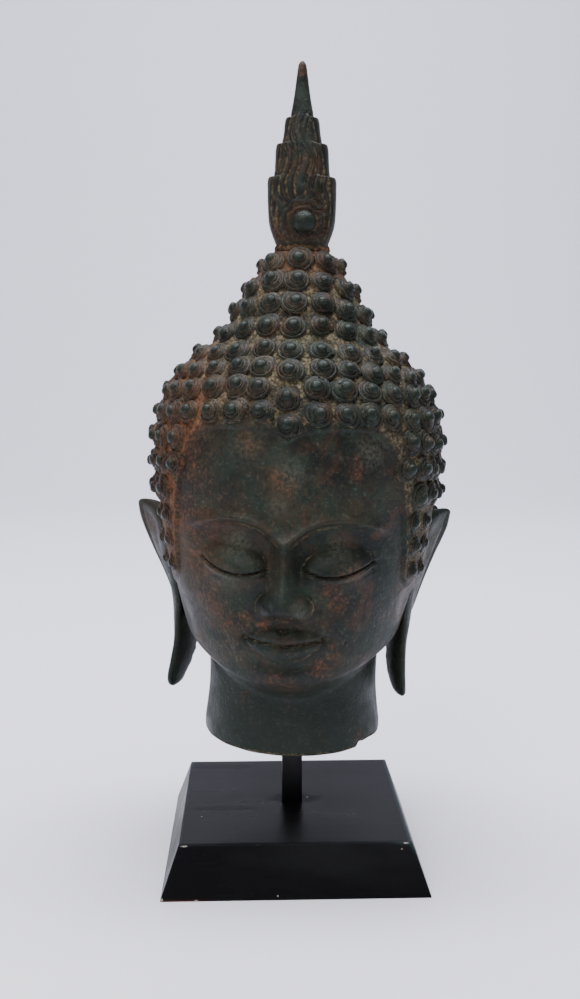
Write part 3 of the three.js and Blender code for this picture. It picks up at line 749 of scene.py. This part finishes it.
def flame(shell):
    """The flame, a leaf of rising tongues that is plain and tapered at the tip, with its two gems."""
    wide_at, deep_at = through(FLAME_OUTLINE, 1), through(FLAME_OUTLINE, 2)
    shares = ramp(
        (0, 0.36, 0.006), (0.36, 0.42, 0.004), (0.42, 0.555, 0.006), (0.555, 0.59, 0.004),
        (0.59, 0.695, 0.006), (0.695, 0.73, 0.004), (0.73, 1, 0.015),
    )
    power = 2 / FLAME_SQUARENESS
    turn = np.linspace(0, 2 * np.pi, FLAME_POINTS, endpoint=False)
    gem_height, gem_radius = GEM_AT * FLAME_HEIGHT - GEM_DROP, GEM_RADIUS * FLAME_FOOT
    rings, hollow, rust = [], [], []
    for share in shares:
        z = share * FLAME_HEIGHT
        wide, deep = wide_at(share) * FLAME_FOOT, deep_at(share) * FLAME_FOOT
        x = wide * np.sign(np.cos(turn)) * np.abs(np.cos(turn)) ** power
        y = deep * np.sign(np.sin(turn)) * np.abs(np.sin(turn)) ** power
        off_tongue = np.abs(x) / FLAME_FOOT - inside_tongues(share)
        sunk = step(0.98, 0.8, share) * step(0.03, 0.07, share)
        carved = step(0.8, 0.68, share) * sunk
        fading = 1 - 0.4 * step(0.45, 0.65, share)
        lines = flame_lines(x, np.full_like(x, z), gem_height, gem_radius)
        cut = lines * step(0, -0.06, off_tongue) * carved * fading
        border = bell(off_tongue / 0.05) * carved * 0.9
        inset = step(0.04, -0.06, off_tongue) * sunk
        into = 1 - LINE_DEPTH * cut - BORDER_DEPTH * border - INSET_DEPTH * inset
        # Between a tongue's tip and the flame inside it the ledge dips
        dip = max(math.exp(-(((share - tip - 0.0085) / 0.006) ** 2)) for tip in TONGUE_TIPS)
        height = z - LEDGE_DIP * dip * step(0.5, 0.9, np.abs(x) / wide)
        rings.append(np.stack([x * (1 - 0.02 * cut) - FLAME_LEAN * z, y * into, height], -1))
        hollow.append(np.clip(cut + border, 0, 1) * 0.85)
        at_tip = np.full_like(x, 0.7 * bell((share - 0.95) / 0.04))
        in_cuts = np.clip(cut + 0.5 * border, 0, 1) * (0.15 + 0.3 * bell((share - 0.1) / 0.14))
        rust.append(np.maximum(at_tip, in_cuts))
    faces = tube_faces(len(rings), FLAME_POINTS)
    hollow, rust = np.concatenate(hollow), np.concatenate(rust)
    shell.add(place_flame(np.concatenate(rings)), faces, hollow=hollow, rust=rust)
    depth = float(deep_at(GEM_AT)) * FLAME_FOOT
    for side in (-1, 1):
        deselect()
        bpy.ops.mesh.primitive_uv_sphere_add(segments=28, ring_count=16, radius=gem_radius)
        gem = bpy.context.object
        points = np.array([v.co for v in gem.data.vertices])
        polar = [tuple(p.vertices) for p in gem.data.polygons]
        bpy.data.objects.remove(gem)
        place = [GEM_SIDE - FLAME_LEAN * gem_height, side * depth * GEM_SUNK, gem_height]
        shell.add(place_flame(points * [1, GEM_FLAT, 1] + place), polar, bare=1.0)


def deselect():
    """Nothing is selected or active, so that the next operator touches its own piece only."""
    for obj in bpy.context.selected_objects:
        obj.select_set(False)
    bpy.context.view_layer.objects.active = None


def flame_seam():
    """The rough fillet of corroded filler all round the foot of the flame."""
    deselect()
    bpy.ops.mesh.primitive_torus_add(
        major_radius=1, minor_radius=0.19, major_segments=96, minor_segments=14
    )
    seam = bpy.context.object
    seam.name = "flame_seam"
    points = np.array([v.co for v in seam.data.vertices])
    rough = np.array([noise.noise(Vector(p) * 5) for p in points])
    fine = np.array([noise.noise(Vector(p) * 17) for p in points])
    around = points[:, :2] / np.linalg.norm(points[:, :2], axis=1, keepdims=True)
    points[:, :2] += around * (0.09 * rough + 0.06 * fine)[:, None]
    points[:, 2] += 0.07 * rough - 0.04 * fine
    points = points * np.array([0.95, 0.79, 1.15]) * FLAME_FOOT + [0, 0, 0.0002]
    for vertex, place in zip(seam.data.vertices, place_flame(points)):
        vertex.co = place
    for name, value in (("hollow", 0.8), ("rust", 0.45)):
        set_mark(seam.data, name, np.full(len(points), value))
    seam.data.shade_smooth()
    return seam


def apply_modifiers(obj):
    """Applies all modifiers of a piece in their order."""
    bpy.context.view_layer.objects.active = obj
    for modifier in list(obj.modifiers):
        bpy.ops.object.modifier_apply(modifier=modifier.name)


def select_faces(obj, chosen):
    """Selects the faces that a test picks by their normals, in edit mode's face select."""
    for vertex in obj.data.vertices:
        vertex.select = False
    for edge in obj.data.edges:
        edge.select = False
    for face in obj.data.polygons:
        face.select = chosen(face.normal)
    bpy.ops.object.mode_set(mode="EDIT")
    bpy.ops.mesh.select_mode(type="FACE")


def block_with_eased_edges(name, low, high, top_share, edge, cuts):
    """A block between two corners, drawn in towards its top, with its edges eased."""
    deselect()
    centre = (low + high) / 2
    bpy.ops.mesh.primitive_cube_add(size=1, location=centre)
    block = bpy.context.object
    block.name = name
    block.scale = high - low
    bpy.ops.object.transform_apply(location=True, rotation=True, scale=True)
    select_faces(block, lambda normal: normal.z > 0.9)
    bpy.ops.transform.resize(value=(top_share, top_share, 1))
    bpy.ops.mesh.select_all(action="SELECT")
    bpy.ops.mesh.subdivide(number_cuts=cuts)
    bpy.ops.object.mode_set(mode="OBJECT")
    bevel = block.modifiers.new("eased edges", "BEVEL")
    bevel.width = edge
    bevel.segments = 2
    bevel.limit_method = "ANGLE"
    bevel.angle_limit = math.radians(50)
    apply_modifiers(block)
    block.data.shade_smooth()
    return block


# The plinth is 150 mm wide at its foot and 130 mm at its top
PLINTH_TOP_SHARE = 130 / 150


def plinth_half_width(z):
    """Half the plinth's width at a height."""
    return PLINTH_HIGH.x * (1 - (1 - PLINTH_TOP_SHARE) * z / PLINTH_HIGH.z)


def edge_wear(obj, half_at, low, high, reach):
    """Marks how near each point is to an edge of a block that is drawn in towards its top."""
    points = np.array([v.co for v in obj.data.vertices])
    half = half_at(points[:, 2])
    off_sides = [half - np.abs(points[:, 0]), half - np.abs(points[:, 1])]
    off = np.stack([*off_sides, points[:, 2] - low, high - points[:, 2]], -1)
    second = np.sort(np.maximum(off, 0), axis=1)[:, 1]
    set_mark(obj.data, "edge", step(reach, 0, second))


# Materials


class Tree:
    """A material's nodes, with short calls for the few kinds used here."""

    def __init__(self, name):
        self.material = bpy.data.materials.new(name)
        self.material.use_nodes = True
        self.tree = self.material.node_tree
        self.shader = self.tree.nodes["Principled BSDF"]
        self.coordinates = self.node("ShaderNodeTexCoord").outputs["Object"]

    def node(self, kind, inputs=(), **settings):
        made = self.tree.nodes.new(kind)
        for key, value in settings.items():
            setattr(made, key, value)
        for key, value in dict(inputs).items():
            self.put(made.inputs[key], value)
        return made

    def put(self, socket, value):
        """Links a socket or sets it; a colour is always opaque."""
        if isinstance(value, bpy.types.NodeSocket):
            self.tree.links.new(value, socket)
        elif socket.type == "RGBA":
            socket.default_value = (*value, 1)
        else:
            socket.default_value = value

    def shade(self, **inputs):
        """Sets the shader's sockets, named with underscores for spaces, and gives the material."""
        for key, value in inputs.items():
            self.put(self.shader.inputs[key.replace("_", " ")], value)
        return self.material

    def moved(self, stretch, shift):
        """The piece's own coordinates, stretched and shifted."""
        inputs = {"Vector": self.coordinates, "Scale": stretch, "Location": shift}
        return self.node("ShaderNodeMapping", inputs).outputs[0]

    def noise(self, scale, detail, roughness, distortion=0, stretch=(1, 1, 1), shift=(0, 0, 0)):
        inputs = {
            "Vector": self.moved(stretch, shift), "Scale": scale, "Detail": detail,
            "Roughness": roughness, "Distortion": distortion,
        }
        return self.node("ShaderNodeTexNoise", inputs).outputs[0]

    def cells(self, scale):
        """Distance to the nearest of scattered points."""
        inputs = {"Vector": self.coordinates, "Scale": scale}
        return self.node("ShaderNodeTexVoronoi", inputs).outputs["Distance"]

    def window(self, value, low, high):
        """0 below low, 1 above high, smooth between; low may be above high."""
        inputs = {"Value": value, "From Min": low, "From Max": high}
        return self.node("ShaderNodeMapRange", inputs, interpolation_type="SMOOTHSTEP").outputs[0]

    def math(self, operation, a, b):
        return self.node("ShaderNodeMath", {0: a, 1: b}, operation=operation).outputs[0]

    def times(self, a, b):
        return self.math("MULTIPLY", a, b)

    def most(self, a, b):
        return self.math("MAXIMUM", a, b)

    def mix(self, share, a, b, kind="RGBA"):
        """A colour between a and b, or a number where the kind is FLOAT."""
        made = self.node("ShaderNodeMix", data_type=kind)
        for key, value in (("Factor", share), ("A", a), ("B", b)):
            self.put(made.inputs[key], value)
        return made.outputs["Result"]

    def level(self, share, a, b):
        """A number between a and b."""
        inputs = {"Value": share, "To Min": a, "To Max": b}
        return self.node("ShaderNodeMapRange", inputs).outputs[0]

    def off_spot(self, centre, reach):
        """Distance from a place on the plinth's top or front, 1 at its reach."""
        scale = [1 / r if r else 0 for r in reach]
        shift = [-c * k for c, k in zip(centre, scale)]
        inputs = {0: self.moved(scale, shift)}
        return self.node("ShaderNodeVectorMath", inputs, operation="LENGTH").outputs["Value"]

    def value_of(self, name):
        """One of the marks on the piece's points."""
        return self.node("ShaderNodeAttribute", attribute_name=name).outputs["Fac"]

    def axis(self, name):
        """The piece's own X, Y or Z."""
        return self.node("ShaderNodeSeparateXYZ", {0: self.coordinates}).outputs[name]

    def bump(self, height, distance, strength, normal=None):
        """Relief from a height, laid over another normal if one is given."""
        inputs = {"Height": height, "Distance": distance, "Strength": strength}
        if normal is not None:
            inputs["Normal"] = normal
        return self.node("ShaderNodeBump", inputs).outputs[0]


def bronze_material(finish):
    """Old cast bronze: green-black patina, earth in the hollows, rust stains, satin high points."""
    t = Tree("patinated_bronze")
    hollow, rust, pale, bare = [t.value_of(name) for name in ("hollow", "rust", "pale", "bare")]
    clouds = t.noise(24, 5, 0.62, 0.6, stretch=(1.2, 1.2, 0.8))
    patches = t.noise(58, 6, 0.65, 0.8, shift=(0.3, 0.1, 0.7))
    blooms = t.noise(34, 6, 0.65, 1.0, shift=(2.3, 0.4, 1.9))
    mottle = t.noise(170, 5, 0.7, 0.4, shift=(0.5, 1.5, 0.2))
    specks = t.noise(520, 4, 0.65)
    grain = t.noise(1400, 3, 0.6)

    colour = t.mix(t.window(clouds, 0.38, 0.62), finish.dark, finish.brown)
    colour = t.mix(t.times(t.window(patches, 0.47, 0.62), 0.85), colour, finish.green)
    colour = t.mix(t.times(t.window(blooms, 0.5, 0.65), 0.7), colour, finish.red_brown)
    colour = t.mix(t.times(t.window(mottle, 0.5, 0.66), 0.75), colour, finish.dark)
    # The neck below the jaw, darkened as painted shade, and what is rubbed bare are darker and plainer
    neck_shade_and_rubbed_bare = t.most(t.window(t.axis("Z"), 0.135, 0.108), bare)
    colour = t.mix(t.times(neck_shade_and_rubbed_bare, 0.88), colour, t.mix(0.5, finish.dark, finish.green))
    scuffs = t.times(t.window(specks, 0.5, 0.7), t.level(t.window(mottle, 0.56, 0.4), 0.06, 0.28))
    scuffs = t.times(scuffs, t.level(neck_shade_and_rubbed_bare, 1.0, 0.5))
    # Light specks of pale powder; over the lids they are painted sheen, and on the forehead powder with
    # painted sheen
    powder_and_sheen = t.times(t.times(pale, t.window(specks, 0.3, 0.68)), 0.6)
    colour = t.mix(t.most(scuffs, powder_and_sheen), colour, finish.light)

    # Rust down the head's right side and round the crown, deeper between the curls, and in spots
    stain_x = t.window(t.axis("X"), -0.03, -0.06)
    stain_z = t.times(t.window(t.axis("Z"), 0.15, 0.2), t.window(t.axis("Z"), 0.35, 0.3))
    crown = t.times(t.times(t.window(t.axis("Z"), 0.325, 0.35), t.window(t.axis("Z"), 0.372, 0.362)), 0.6)
    side = t.most(t.times(stain_x, stain_z), crown)
    stain = t.times(t.times(side, t.window(patches, 0.3, 0.5)), t.level(hollow, 0.27, 1.0))
    stain = t.times(stain, t.level(bare, 1.0, 0.2))
    spots = t.times(t.window(t.noise(44, 5, 0.66, 0.8, shift=(1.7, 2.2, 0.4)), 0.62, 0.72), 0.4)
    marks = t.times(t.times(rust, t.window(mottle, 0.66, 0.4)), 0.8)
    red = t.most(marks, t.most(stain, spots))
    red = t.times(red, t.level(t.window(specks, 0.35, 0.65), 0.45, 1.0))
    rusty = t.mix(t.window(specks, 0.38, 0.62), finish.rust_dark, finish.rust)
    colour = t.mix(t.times(red, 0.85), colour, rusty)

    clods = t.window(t.noise(150, 6, 0.72, shift=(0.9, 0.2, 0.1)), 0.38, 0.6)
    dusty = t.times(t.window(hollow, 0.18, 0.9), clods)
    earth = t.mix(t.window(specks, 0.4, 0.64), finish.earth_dark, finish.earth)
    earth = t.mix(t.times(t.most(stain, rust), 0.85), earth, finish.rust)
    colour = t.mix(t.times(dusty, 0.88), colour, earth)

    matt = t.most(t.times(dusty, 0.95), t.times(red, 0.9))
    polish = t.level(t.window(patches, 0.35, 0.65), finish.roughness - 0.1, finish.roughness + 0.1)
    polish = t.mix(t.window(bare, 0.8, 1.0), polish, finish.roughness - 0.14, "FLOAT")
    lumps = t.times(t.noise(320, 5, 0.75, shift=(0.2, 0.8, 0.6)), t.window(hollow, 0.25, 0.9))
    relief = t.bump(t.noise(240, 5, 0.7), 0.0008, 0.55)
    relief = t.bump(lumps, 0.0022, 1.0, relief)
    relief = t.bump(t.window(t.cells(330), 0.05, 0.3), 0.0005, 0.4, relief)
    relief = t.bump(grain, 0.00028, 0.55, relief)
    return t.shade(
        Base_Color=colour,
        Roughness=t.mix(matt, polish, 0.9, "FLOAT"),
        Metallic=t.level(matt, 0.12, 0.02),
        Specular_IOR_Level=t.level(matt, 0.15, 0.04),
        Specular_Tint=(0.8, 0.82, 0.88),
        Normal=relief,
    )


# Where the paint is chipped through: place in metres, reach each way
PAINT_CHIPS = [
    ((-0.0618, -0.0652, 0.0275), (0.002, 0.0006, 0.0004)),
    ((0.0615, -0.0652, 0.0277), (0.0014, 0.0007, 0.0004)),
    ((0.059, -0.0662, 0.0247), (0.0004, 0.0005, 0.0004)),
    ((-0.0102, -0.0742, 0.0022), (0.0005, 0.0005, 0.0005)),
    ((-0.055, -0.0748, 0.0005), (0.001, 0.0005, 0.0005)),
    ((-0.0738, -0.0745, 0.001), (0.0006, 0.0006, 0.0012)),
    ((0.0095, 0.0015, 0.028), (0.0008, 0.0012, 0.0005)),
    ((-0.054, -0.026, 0.028), (0.0004, 0.0006, 0.0005)),
]


def black_paint(finish):
    """Satin black paint on wood, stained round the post, chipped, with primer at the foot."""
    t = Tree("worn_black_paint")
    edge = t.value_of("edge")
    streaks = t.noise(9, 4, 0.6, 0.6, stretch=(0.6, 2.2, 2.2))
    cloudy = t.noise(70, 5, 0.65, 0.5)
    colour = t.mix(t.window(streaks, 0.35, 0.7), finish.paint, finish.paint_grey)
    corner = t.window(t.axis("X"), -0.035, -0.07)
    near_foot = t.times(t.window(t.axis("Z"), 0.0013, 0.0005), corner)
    primer = t.times(near_foot, t.window(t.noise(90, 3, 0.6), 0.4, 0.55))
    colour = t.mix(t.times(primer, 0.8), colour, finish.primer)
    at_back = t.most(t.window(t.axis("Y"), 0.045, 0.066), t.window(t.axis("X"), 0.05, 0.066))
    teal = t.times(t.times(t.window(edge, 0.1, 1.0), at_back), t.window(t.axis("Z"), 0.02, 0.027))
    colour = t.mix(t.times(teal, 0.6), colour, finish.edge_tint)
    chipped = t.times(t.window(edge, 0.8, 0.97), t.window(t.noise(260, 4, 0.7), 0.68, 0.73))
    for centre, reach in PAINT_CHIPS:
        ragged = t.math("ADD", t.off_spot(centre, reach), t.level(t.noise(900, 3, 0.7), -0.8, 0.8))
        chipped = t.most(chipped, t.window(ragged, 1.15, 0.7))
    colour = t.mix(t.times(chipped, 0.8), colour, finish.bare)

    # Stains dull the shine: a blot round the post's foot and two wiped streaks
    middle = (POST_LOW + POST_HIGH) / 2
    dull = 0.0
    for centre, reach, strength in (
        ((middle.x, middle.y, 0), (0.0165, 0.0085, 0), 1.0),
        ((-0.041, -0.014, 0), (0.024, 0.0035, 0), 0.6),
        ((-0.044, 0.054, 0), (0.022, 0.004, 0), 0.6),
    ):
        ragged = t.math("ADD", t.off_spot(centre, reach), t.level(cloudy, -0.7, 0.7))
        dull = t.most(dull, t.times(t.window(ragged, 1.15, 0.75), strength))
    brushed = t.bump(t.noise(60, 4, 0.6, stretch=(0.2, 6, 6)), 0.0003, 0.08)
    return t.shade(
        Base_Color=colour,
        Roughness=t.level(t.window(streaks, 0.3, 0.7), finish.satin - 0.05, finish.satin + 0.1),
        Specular_IOR_Level=t.level(dull, finish.shine, 0.02),
        Normal=t.bump(t.noise(900, 3, 0.6), 0.0001, 0.25, brushed),
    )


def black_steel(finish):
    """Satin black steel, a little dusty."""
    t = Tree("black_steel")
    dust = t.window(t.noise(300, 4, 0.65), 0.45, 0.7)
    return t.shade(
        Base_Color=t.mix(t.times(dust, 0.4), finish.paint, finish.paint_grey),
        Roughness=t.level(dust, 0.4, 0.6),
        Specular_IOR_Level=0.25,
        Normal=t.bump(t.noise(700, 3, 0.6, stretch=(4, 4, 0.4)), 0.0001, 0.3),
    )


def colour_property(name, description, default):
    return FloatVectorProperty(
        name=name, description=description, default=default, subtype="COLOR", size=3, min=0, max=1
    )


def share_property(name, description, default):
    return FloatProperty(
        name=name, description=description, default=default, subtype="FACTOR", min=0, max=1
    )


def length_property(name, description, default):
    return FloatProperty(name=name, description=description, default=default, unit="LENGTH")


def power_property(name, description, default):
    return FloatProperty(name=name, description=description, default=default, unit="POWER")


class BronzeFinish(bpy.types.PropertyGroup):
    """Colours and polish of the bronze."""

    dark: colour_property("Dark patina", "Main colour of the bronze", (0.0125, 0.015, 0.013))
    brown: colour_property("Brown patina", "Warmer clouds in the patina", (0.038, 0.033, 0.021))
    green: colour_property("Green patina", "Green patches", (0.022, 0.033, 0.024))
    red_brown: colour_property("Red-brown patina", "Red-brown blooms", (0.054, 0.029, 0.018))
    # The light specks are also the colour of the painted sheen over the lids and on the forehead
    light: colour_property("Light specks", "Paler specks all over", (0.155, 0.155, 0.115))
    earth: colour_property("Earth", "Dry earth in the hollows", (0.25, 0.205, 0.128))
    earth_dark: colour_property("Dark earth", "Damp earth in the hollows", (0.07, 0.056, 0.035))
    rust: colour_property("Rust", "Bright rust", (0.2, 0.083, 0.043))
    rust_dark: colour_property("Dark rust", "Dark rust", (0.08, 0.034, 0.02))
    roughness: share_property("Roughness", "Roughness of the smooth bronze", 0.46)


class StandFinish(bpy.types.PropertyGroup):
    """Edges and colours of the plinth and the post."""

    plinth_edge: length_property("Plinth edge", "Width of the plinth's eased edges", 0.0006)
    post_edge: length_property("Post edge", "Width of the post's eased edges", 0.0006)
    wear_reach: length_property("Wear reach", "How far wear reaches from an edge", 0.0025)
    paint: colour_property("Paint", "Black paint", (0.0065, 0.0065, 0.007))
    paint_grey: colour_property("Greyed paint", "Paint greyed by dust", (0.012, 0.012, 0.0135))
    edge_tint: colour_property("Edge tint", "Thin paint at the edges", (0.03, 0.055, 0.058))
    primer: colour_property("Primer", "Red-brown primer at the foot", (0.075, 0.024, 0.017))
    bare: colour_property("Bare specks", "Where the paint is rubbed off", (0.36, 0.33, 0.28))
    shine: share_property("Shine", "Strength of the paint's shine", 0.038)
    satin: share_property("Satin", "Roughness of the paint", 0.3)


class StageLook(bpy.types.PropertyGroup):
    """Floor, backdrop and light."""

    floor: colour_property("Floor", "Floor and backdrop", (0.78, 0.77, 0.83))
    air: colour_property("Air", "Light from all around", (0.9, 0.91, 1.0))
    air_strength: share_property("Air strength", "Strength of that light", 0.1)
    top_power: power_property("Top light", "Power of the light above", 58)
    side_power: power_property("Side lights", "Power of each side light", 2)
    front_power: power_property("Front light", "Power of the front light", 16)
    back_power: power_property("Back light", "Power of the light on the backdrop", 107)


def finished(piece, slot, material, *nodes):
    """Gives a piece its material, its body and the nodes that it stands for."""
    piece.data.materials.clear()
    piece.data.materials.append(material)
    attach(piece, "root")
    if nodes:
        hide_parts(*nodes)


def bronze(context):
    """The one bronze that head, curls and flame share."""
    made = bpy.data.materials.get("patinated_bronze")
    return made or bronze_material(context.scene.bronze_finish)


class HEAD_OT_casting(bpy.types.Operator):
    """Models the head: skin, ears and curls."""

    bl_idname = "bronze_head.casting"
    bl_label = "Head"

    def execute(self, context):
        shell = Shell()
        head_skin(shell)
        for side in (1, -1):
            ear(shell, side)
        finished(shell.piece("bronze_head"), "bronze", bronze(context), "head")
        hair = Shell()
        curls(hair)
        finished(hair.piece("bronze_curls"), "bronze", bronze(context), "head")
        return {"FINISHED"}


class HEAD_OT_flame(bpy.types.Operator):
    """Models the flame on the crown and the seam at its foot."""

    bl_idname = "bronze_head.flame"
    bl_label = "Flame"

    def execute(self, context):
        shell = Shell()
        flame(shell)
        finished(shell.piece("bronze_flame"), "bronze", bronze(context), "flame_finial")
        finished(flame_seam(), "bronze", bronze(context))
        return {"FINISHED"}


class HEAD_OT_stand(bpy.types.Operator):
    """Models the plinth and the post."""

    bl_idname = "bronze_head.stand"
    bl_label = "Stand"

    def execute(self, context):
        finish = context.scene.stand_finish
        plinth = block_with_eased_edges(
            "wooden_plinth", PLINTH_LOW, PLINTH_HIGH, PLINTH_TOP_SHARE, finish.plinth_edge, cuts=44
        )
        edge_wear(plinth, plinth_half_width, 0, PLINTH_HIGH.z, finish.wear_reach)
        finished(plinth, "black_paint", black_paint(finish), "plinth")
        post = block_with_eased_edges("steel_post", POST_LOW, POST_HIGH, 1, finish.post_edge, cuts=3)
        finished(post, "black_steel", black_steel(finish), "post")
        return {"FINISHED"}


class HEAD_OT_stage(bpy.types.Operator):
    """Sets up the floor, the light and the camera."""

    bl_idname = "bronze_head.stage"
    bl_label = "Stage"

    def execute(self, context):
        look = context.scene.stage_look
        make_sweep(look)
        make_lights(look)
        make_camera()
        return {"FINISHED"}


SWEEP_WIDTH = 8.0
SWEEP_FRONT = -4.0
SWEEP_BACK = 1.6
SWEEP_HEIGHT = 4.0
SWEEP_ROUND = 1.0
SWEEP_STEPS = 12


def draw_out_far_edge(sweep, move):
    """Extrudes the sweep's far, upper edge by a move."""
    vertices = sweep.data.vertices
    far = max(v.co.y for v in vertices)
    high = max(v.co.z for v in vertices)
    for vertex in vertices:
        vertex.select = abs(vertex.co.y - far) < 1e-5 and abs(vertex.co.z - high) < 1e-5
    for edge in sweep.data.edges:
        edge.select = all(vertices[k].select for k in edge.vertices)
    for face in sweep.data.polygons:
        face.select = False
    bpy.ops.object.mode_set(mode="EDIT")
    bpy.ops.mesh.select_mode(type="EDGE")
    bpy.ops.mesh.extrude_region_move(TRANSFORM_OT_translate={"value": move})
    bpy.ops.object.mode_set(mode="OBJECT")


def make_sweep(look):
    """A pale floor that curves up into a backdrop."""
    deselect()
    bpy.ops.mesh.primitive_plane_add(size=1, location=(0, (SWEEP_FRONT + SWEEP_BACK) / 2, 0))
    sweep = bpy.context.object
    sweep.name = "floor_sweep"
    sweep.scale = (SWEEP_WIDTH, SWEEP_BACK - SWEEP_FRONT, 1)
    bpy.ops.object.transform_apply(location=True, rotation=True, scale=True)
    length = SWEEP_ROUND * math.pi / 2 / SWEEP_STEPS
    for i in range(SWEEP_STEPS):
        turn = math.pi / 2 * (i + 0.5) / SWEEP_STEPS
        draw_out_far_edge(sweep, (0, length * math.cos(turn), length * math.sin(turn)))
    draw_out_far_edge(sweep, (0, 0, SWEEP_HEIGHT))
    sweep.data.shade_smooth()
    sweep.data.materials.append(Tree("pale_backdrop").shade(Base_Color=look.floor, Roughness=0.75))


def area_light(name, place, target, size, power, colour):
    """A rectangular light that is turned to a target."""
    light = bpy.data.lights.new(name, "AREA")
    light.shape = "RECTANGLE"
    light.size, light.size_y = size
    light.energy = power
    light.color = colour
    lamp = bpy.data.objects.new(name, light)
    lamp.location = place
    lamp.rotation_euler = (Vector(target) - Vector(place)).to_track_quat("-Z", "Y").to_euler()
    bpy.context.scene.collection.objects.link(lamp)


def make_lights(look):
    """Faint light from all around, and soft lights above, beside, in front and at the back."""
    world = bpy.data.worlds.new("studio_air")
    world.use_nodes = True
    background = world.node_tree.nodes["Background"]
    background.inputs["Color"].default_value = (*look.air, 1)
    background.inputs["Strength"].default_value = look.air_strength
    bpy.context.scene.world = world
    middle = (0, 0, 0.22)
    area_light("top", (0, -0.05, 2.3), (0, 0, 0), (2.6, 2.2), look.top_power, (1, 0.99, 0.98))
    area_light("left", (-1.7, -0.75, 1.0), middle, (1.2, 1.6), look.side_power, (0.95, 0.97, 1))
    area_light("right", (1.7, -0.6, 1.0), middle, (1.2, 1.6), look.side_power, (1, 0.98, 0.96))
    area_light("front", (-0.55, -1.25, 1.45), middle, (0.7, 0.6), look.front_power, (1, 0.99, 0.97))
    area_light("back", (0, 0.1, 2.2), (0, 1.6, 0.6), (2.4, 0.8), look.back_power, (0.85, 0.87, 1))


CAMERA_PLACE = (-0.0225, -0.6533, 0.295)
CAMERA_AZIMUTH = 1.875
CAMERA_PITCH = 7.18
CAMERA_LENS = 40.05
CAMERA_SENSOR = 36


def make_camera():
    """A camera in front of the face, a little above it and looking down."""
    camera = bpy.data.cameras.new("camera")
    camera.lens = CAMERA_LENS
    camera.sensor_width = CAMERA_SENSOR
    camera.clip_start = 0.01
    seen = bpy.data.objects.new("camera", camera)
    seen.location = CAMERA_PLACE
    turn, pitch = math.radians(CAMERA_AZIMUTH), math.radians(CAMERA_PITCH)
    ahead = Vector((math.sin(turn) * math.cos(pitch), math.cos(turn) * math.cos(pitch), -math.sin(pitch)))
    seen.rotation_euler = ahead.to_track_quat("-Z", "Y").to_euler()
    bpy.context.scene.collection.objects.link(seen)
    bpy.context.scene.camera = seen


class HEAD_PT_sidebar(bpy.types.Panel):
    """Lists the steps and their settings."""

    bl_idname = "HEAD_PT_sidebar"
    bl_label = "Bronze Head"
    bl_space_type = "VIEW_3D"
    bl_region_type = "UI"
    bl_category = "Bronze Head"

    def draw(self, context):
        for operator in STEPS:
            self.layout.operator(operator.bl_idname)
        for group, names in GROUPS.items():
            box = self.layout.box()
            for name in names.__annotations__:
                box.prop(getattr(context.scene, group), name)


STEPS = (HEAD_OT_casting, HEAD_OT_flame, HEAD_OT_stand, HEAD_OT_stage)
GROUPS = {"bronze_finish": BronzeFinish, "stand_finish": StandFinish, "stage_look": StageLook}
CLASSES = (*GROUPS.values(), *STEPS, HEAD_PT_sidebar)


def register():
    for kind in CLASSES:
        bpy.utils.register_class(kind)
    for name, group in GROUPS.items():
        setattr(bpy.types.Scene, name, PointerProperty(type=group))


def unregister():
    for name in GROUPS:
        delattr(bpy.types.Scene, name)
    for kind in reversed(CLASSES):
        bpy.utils.unregister_class(kind)


def main():
    register()
    bpy.ops.bronze_head.casting()
    bpy.ops.bronze_head.flame()
    bpy.ops.bronze_head.stand()
    bpy.ops.bronze_head.stage()


if __name__ == "__main__":
    main()
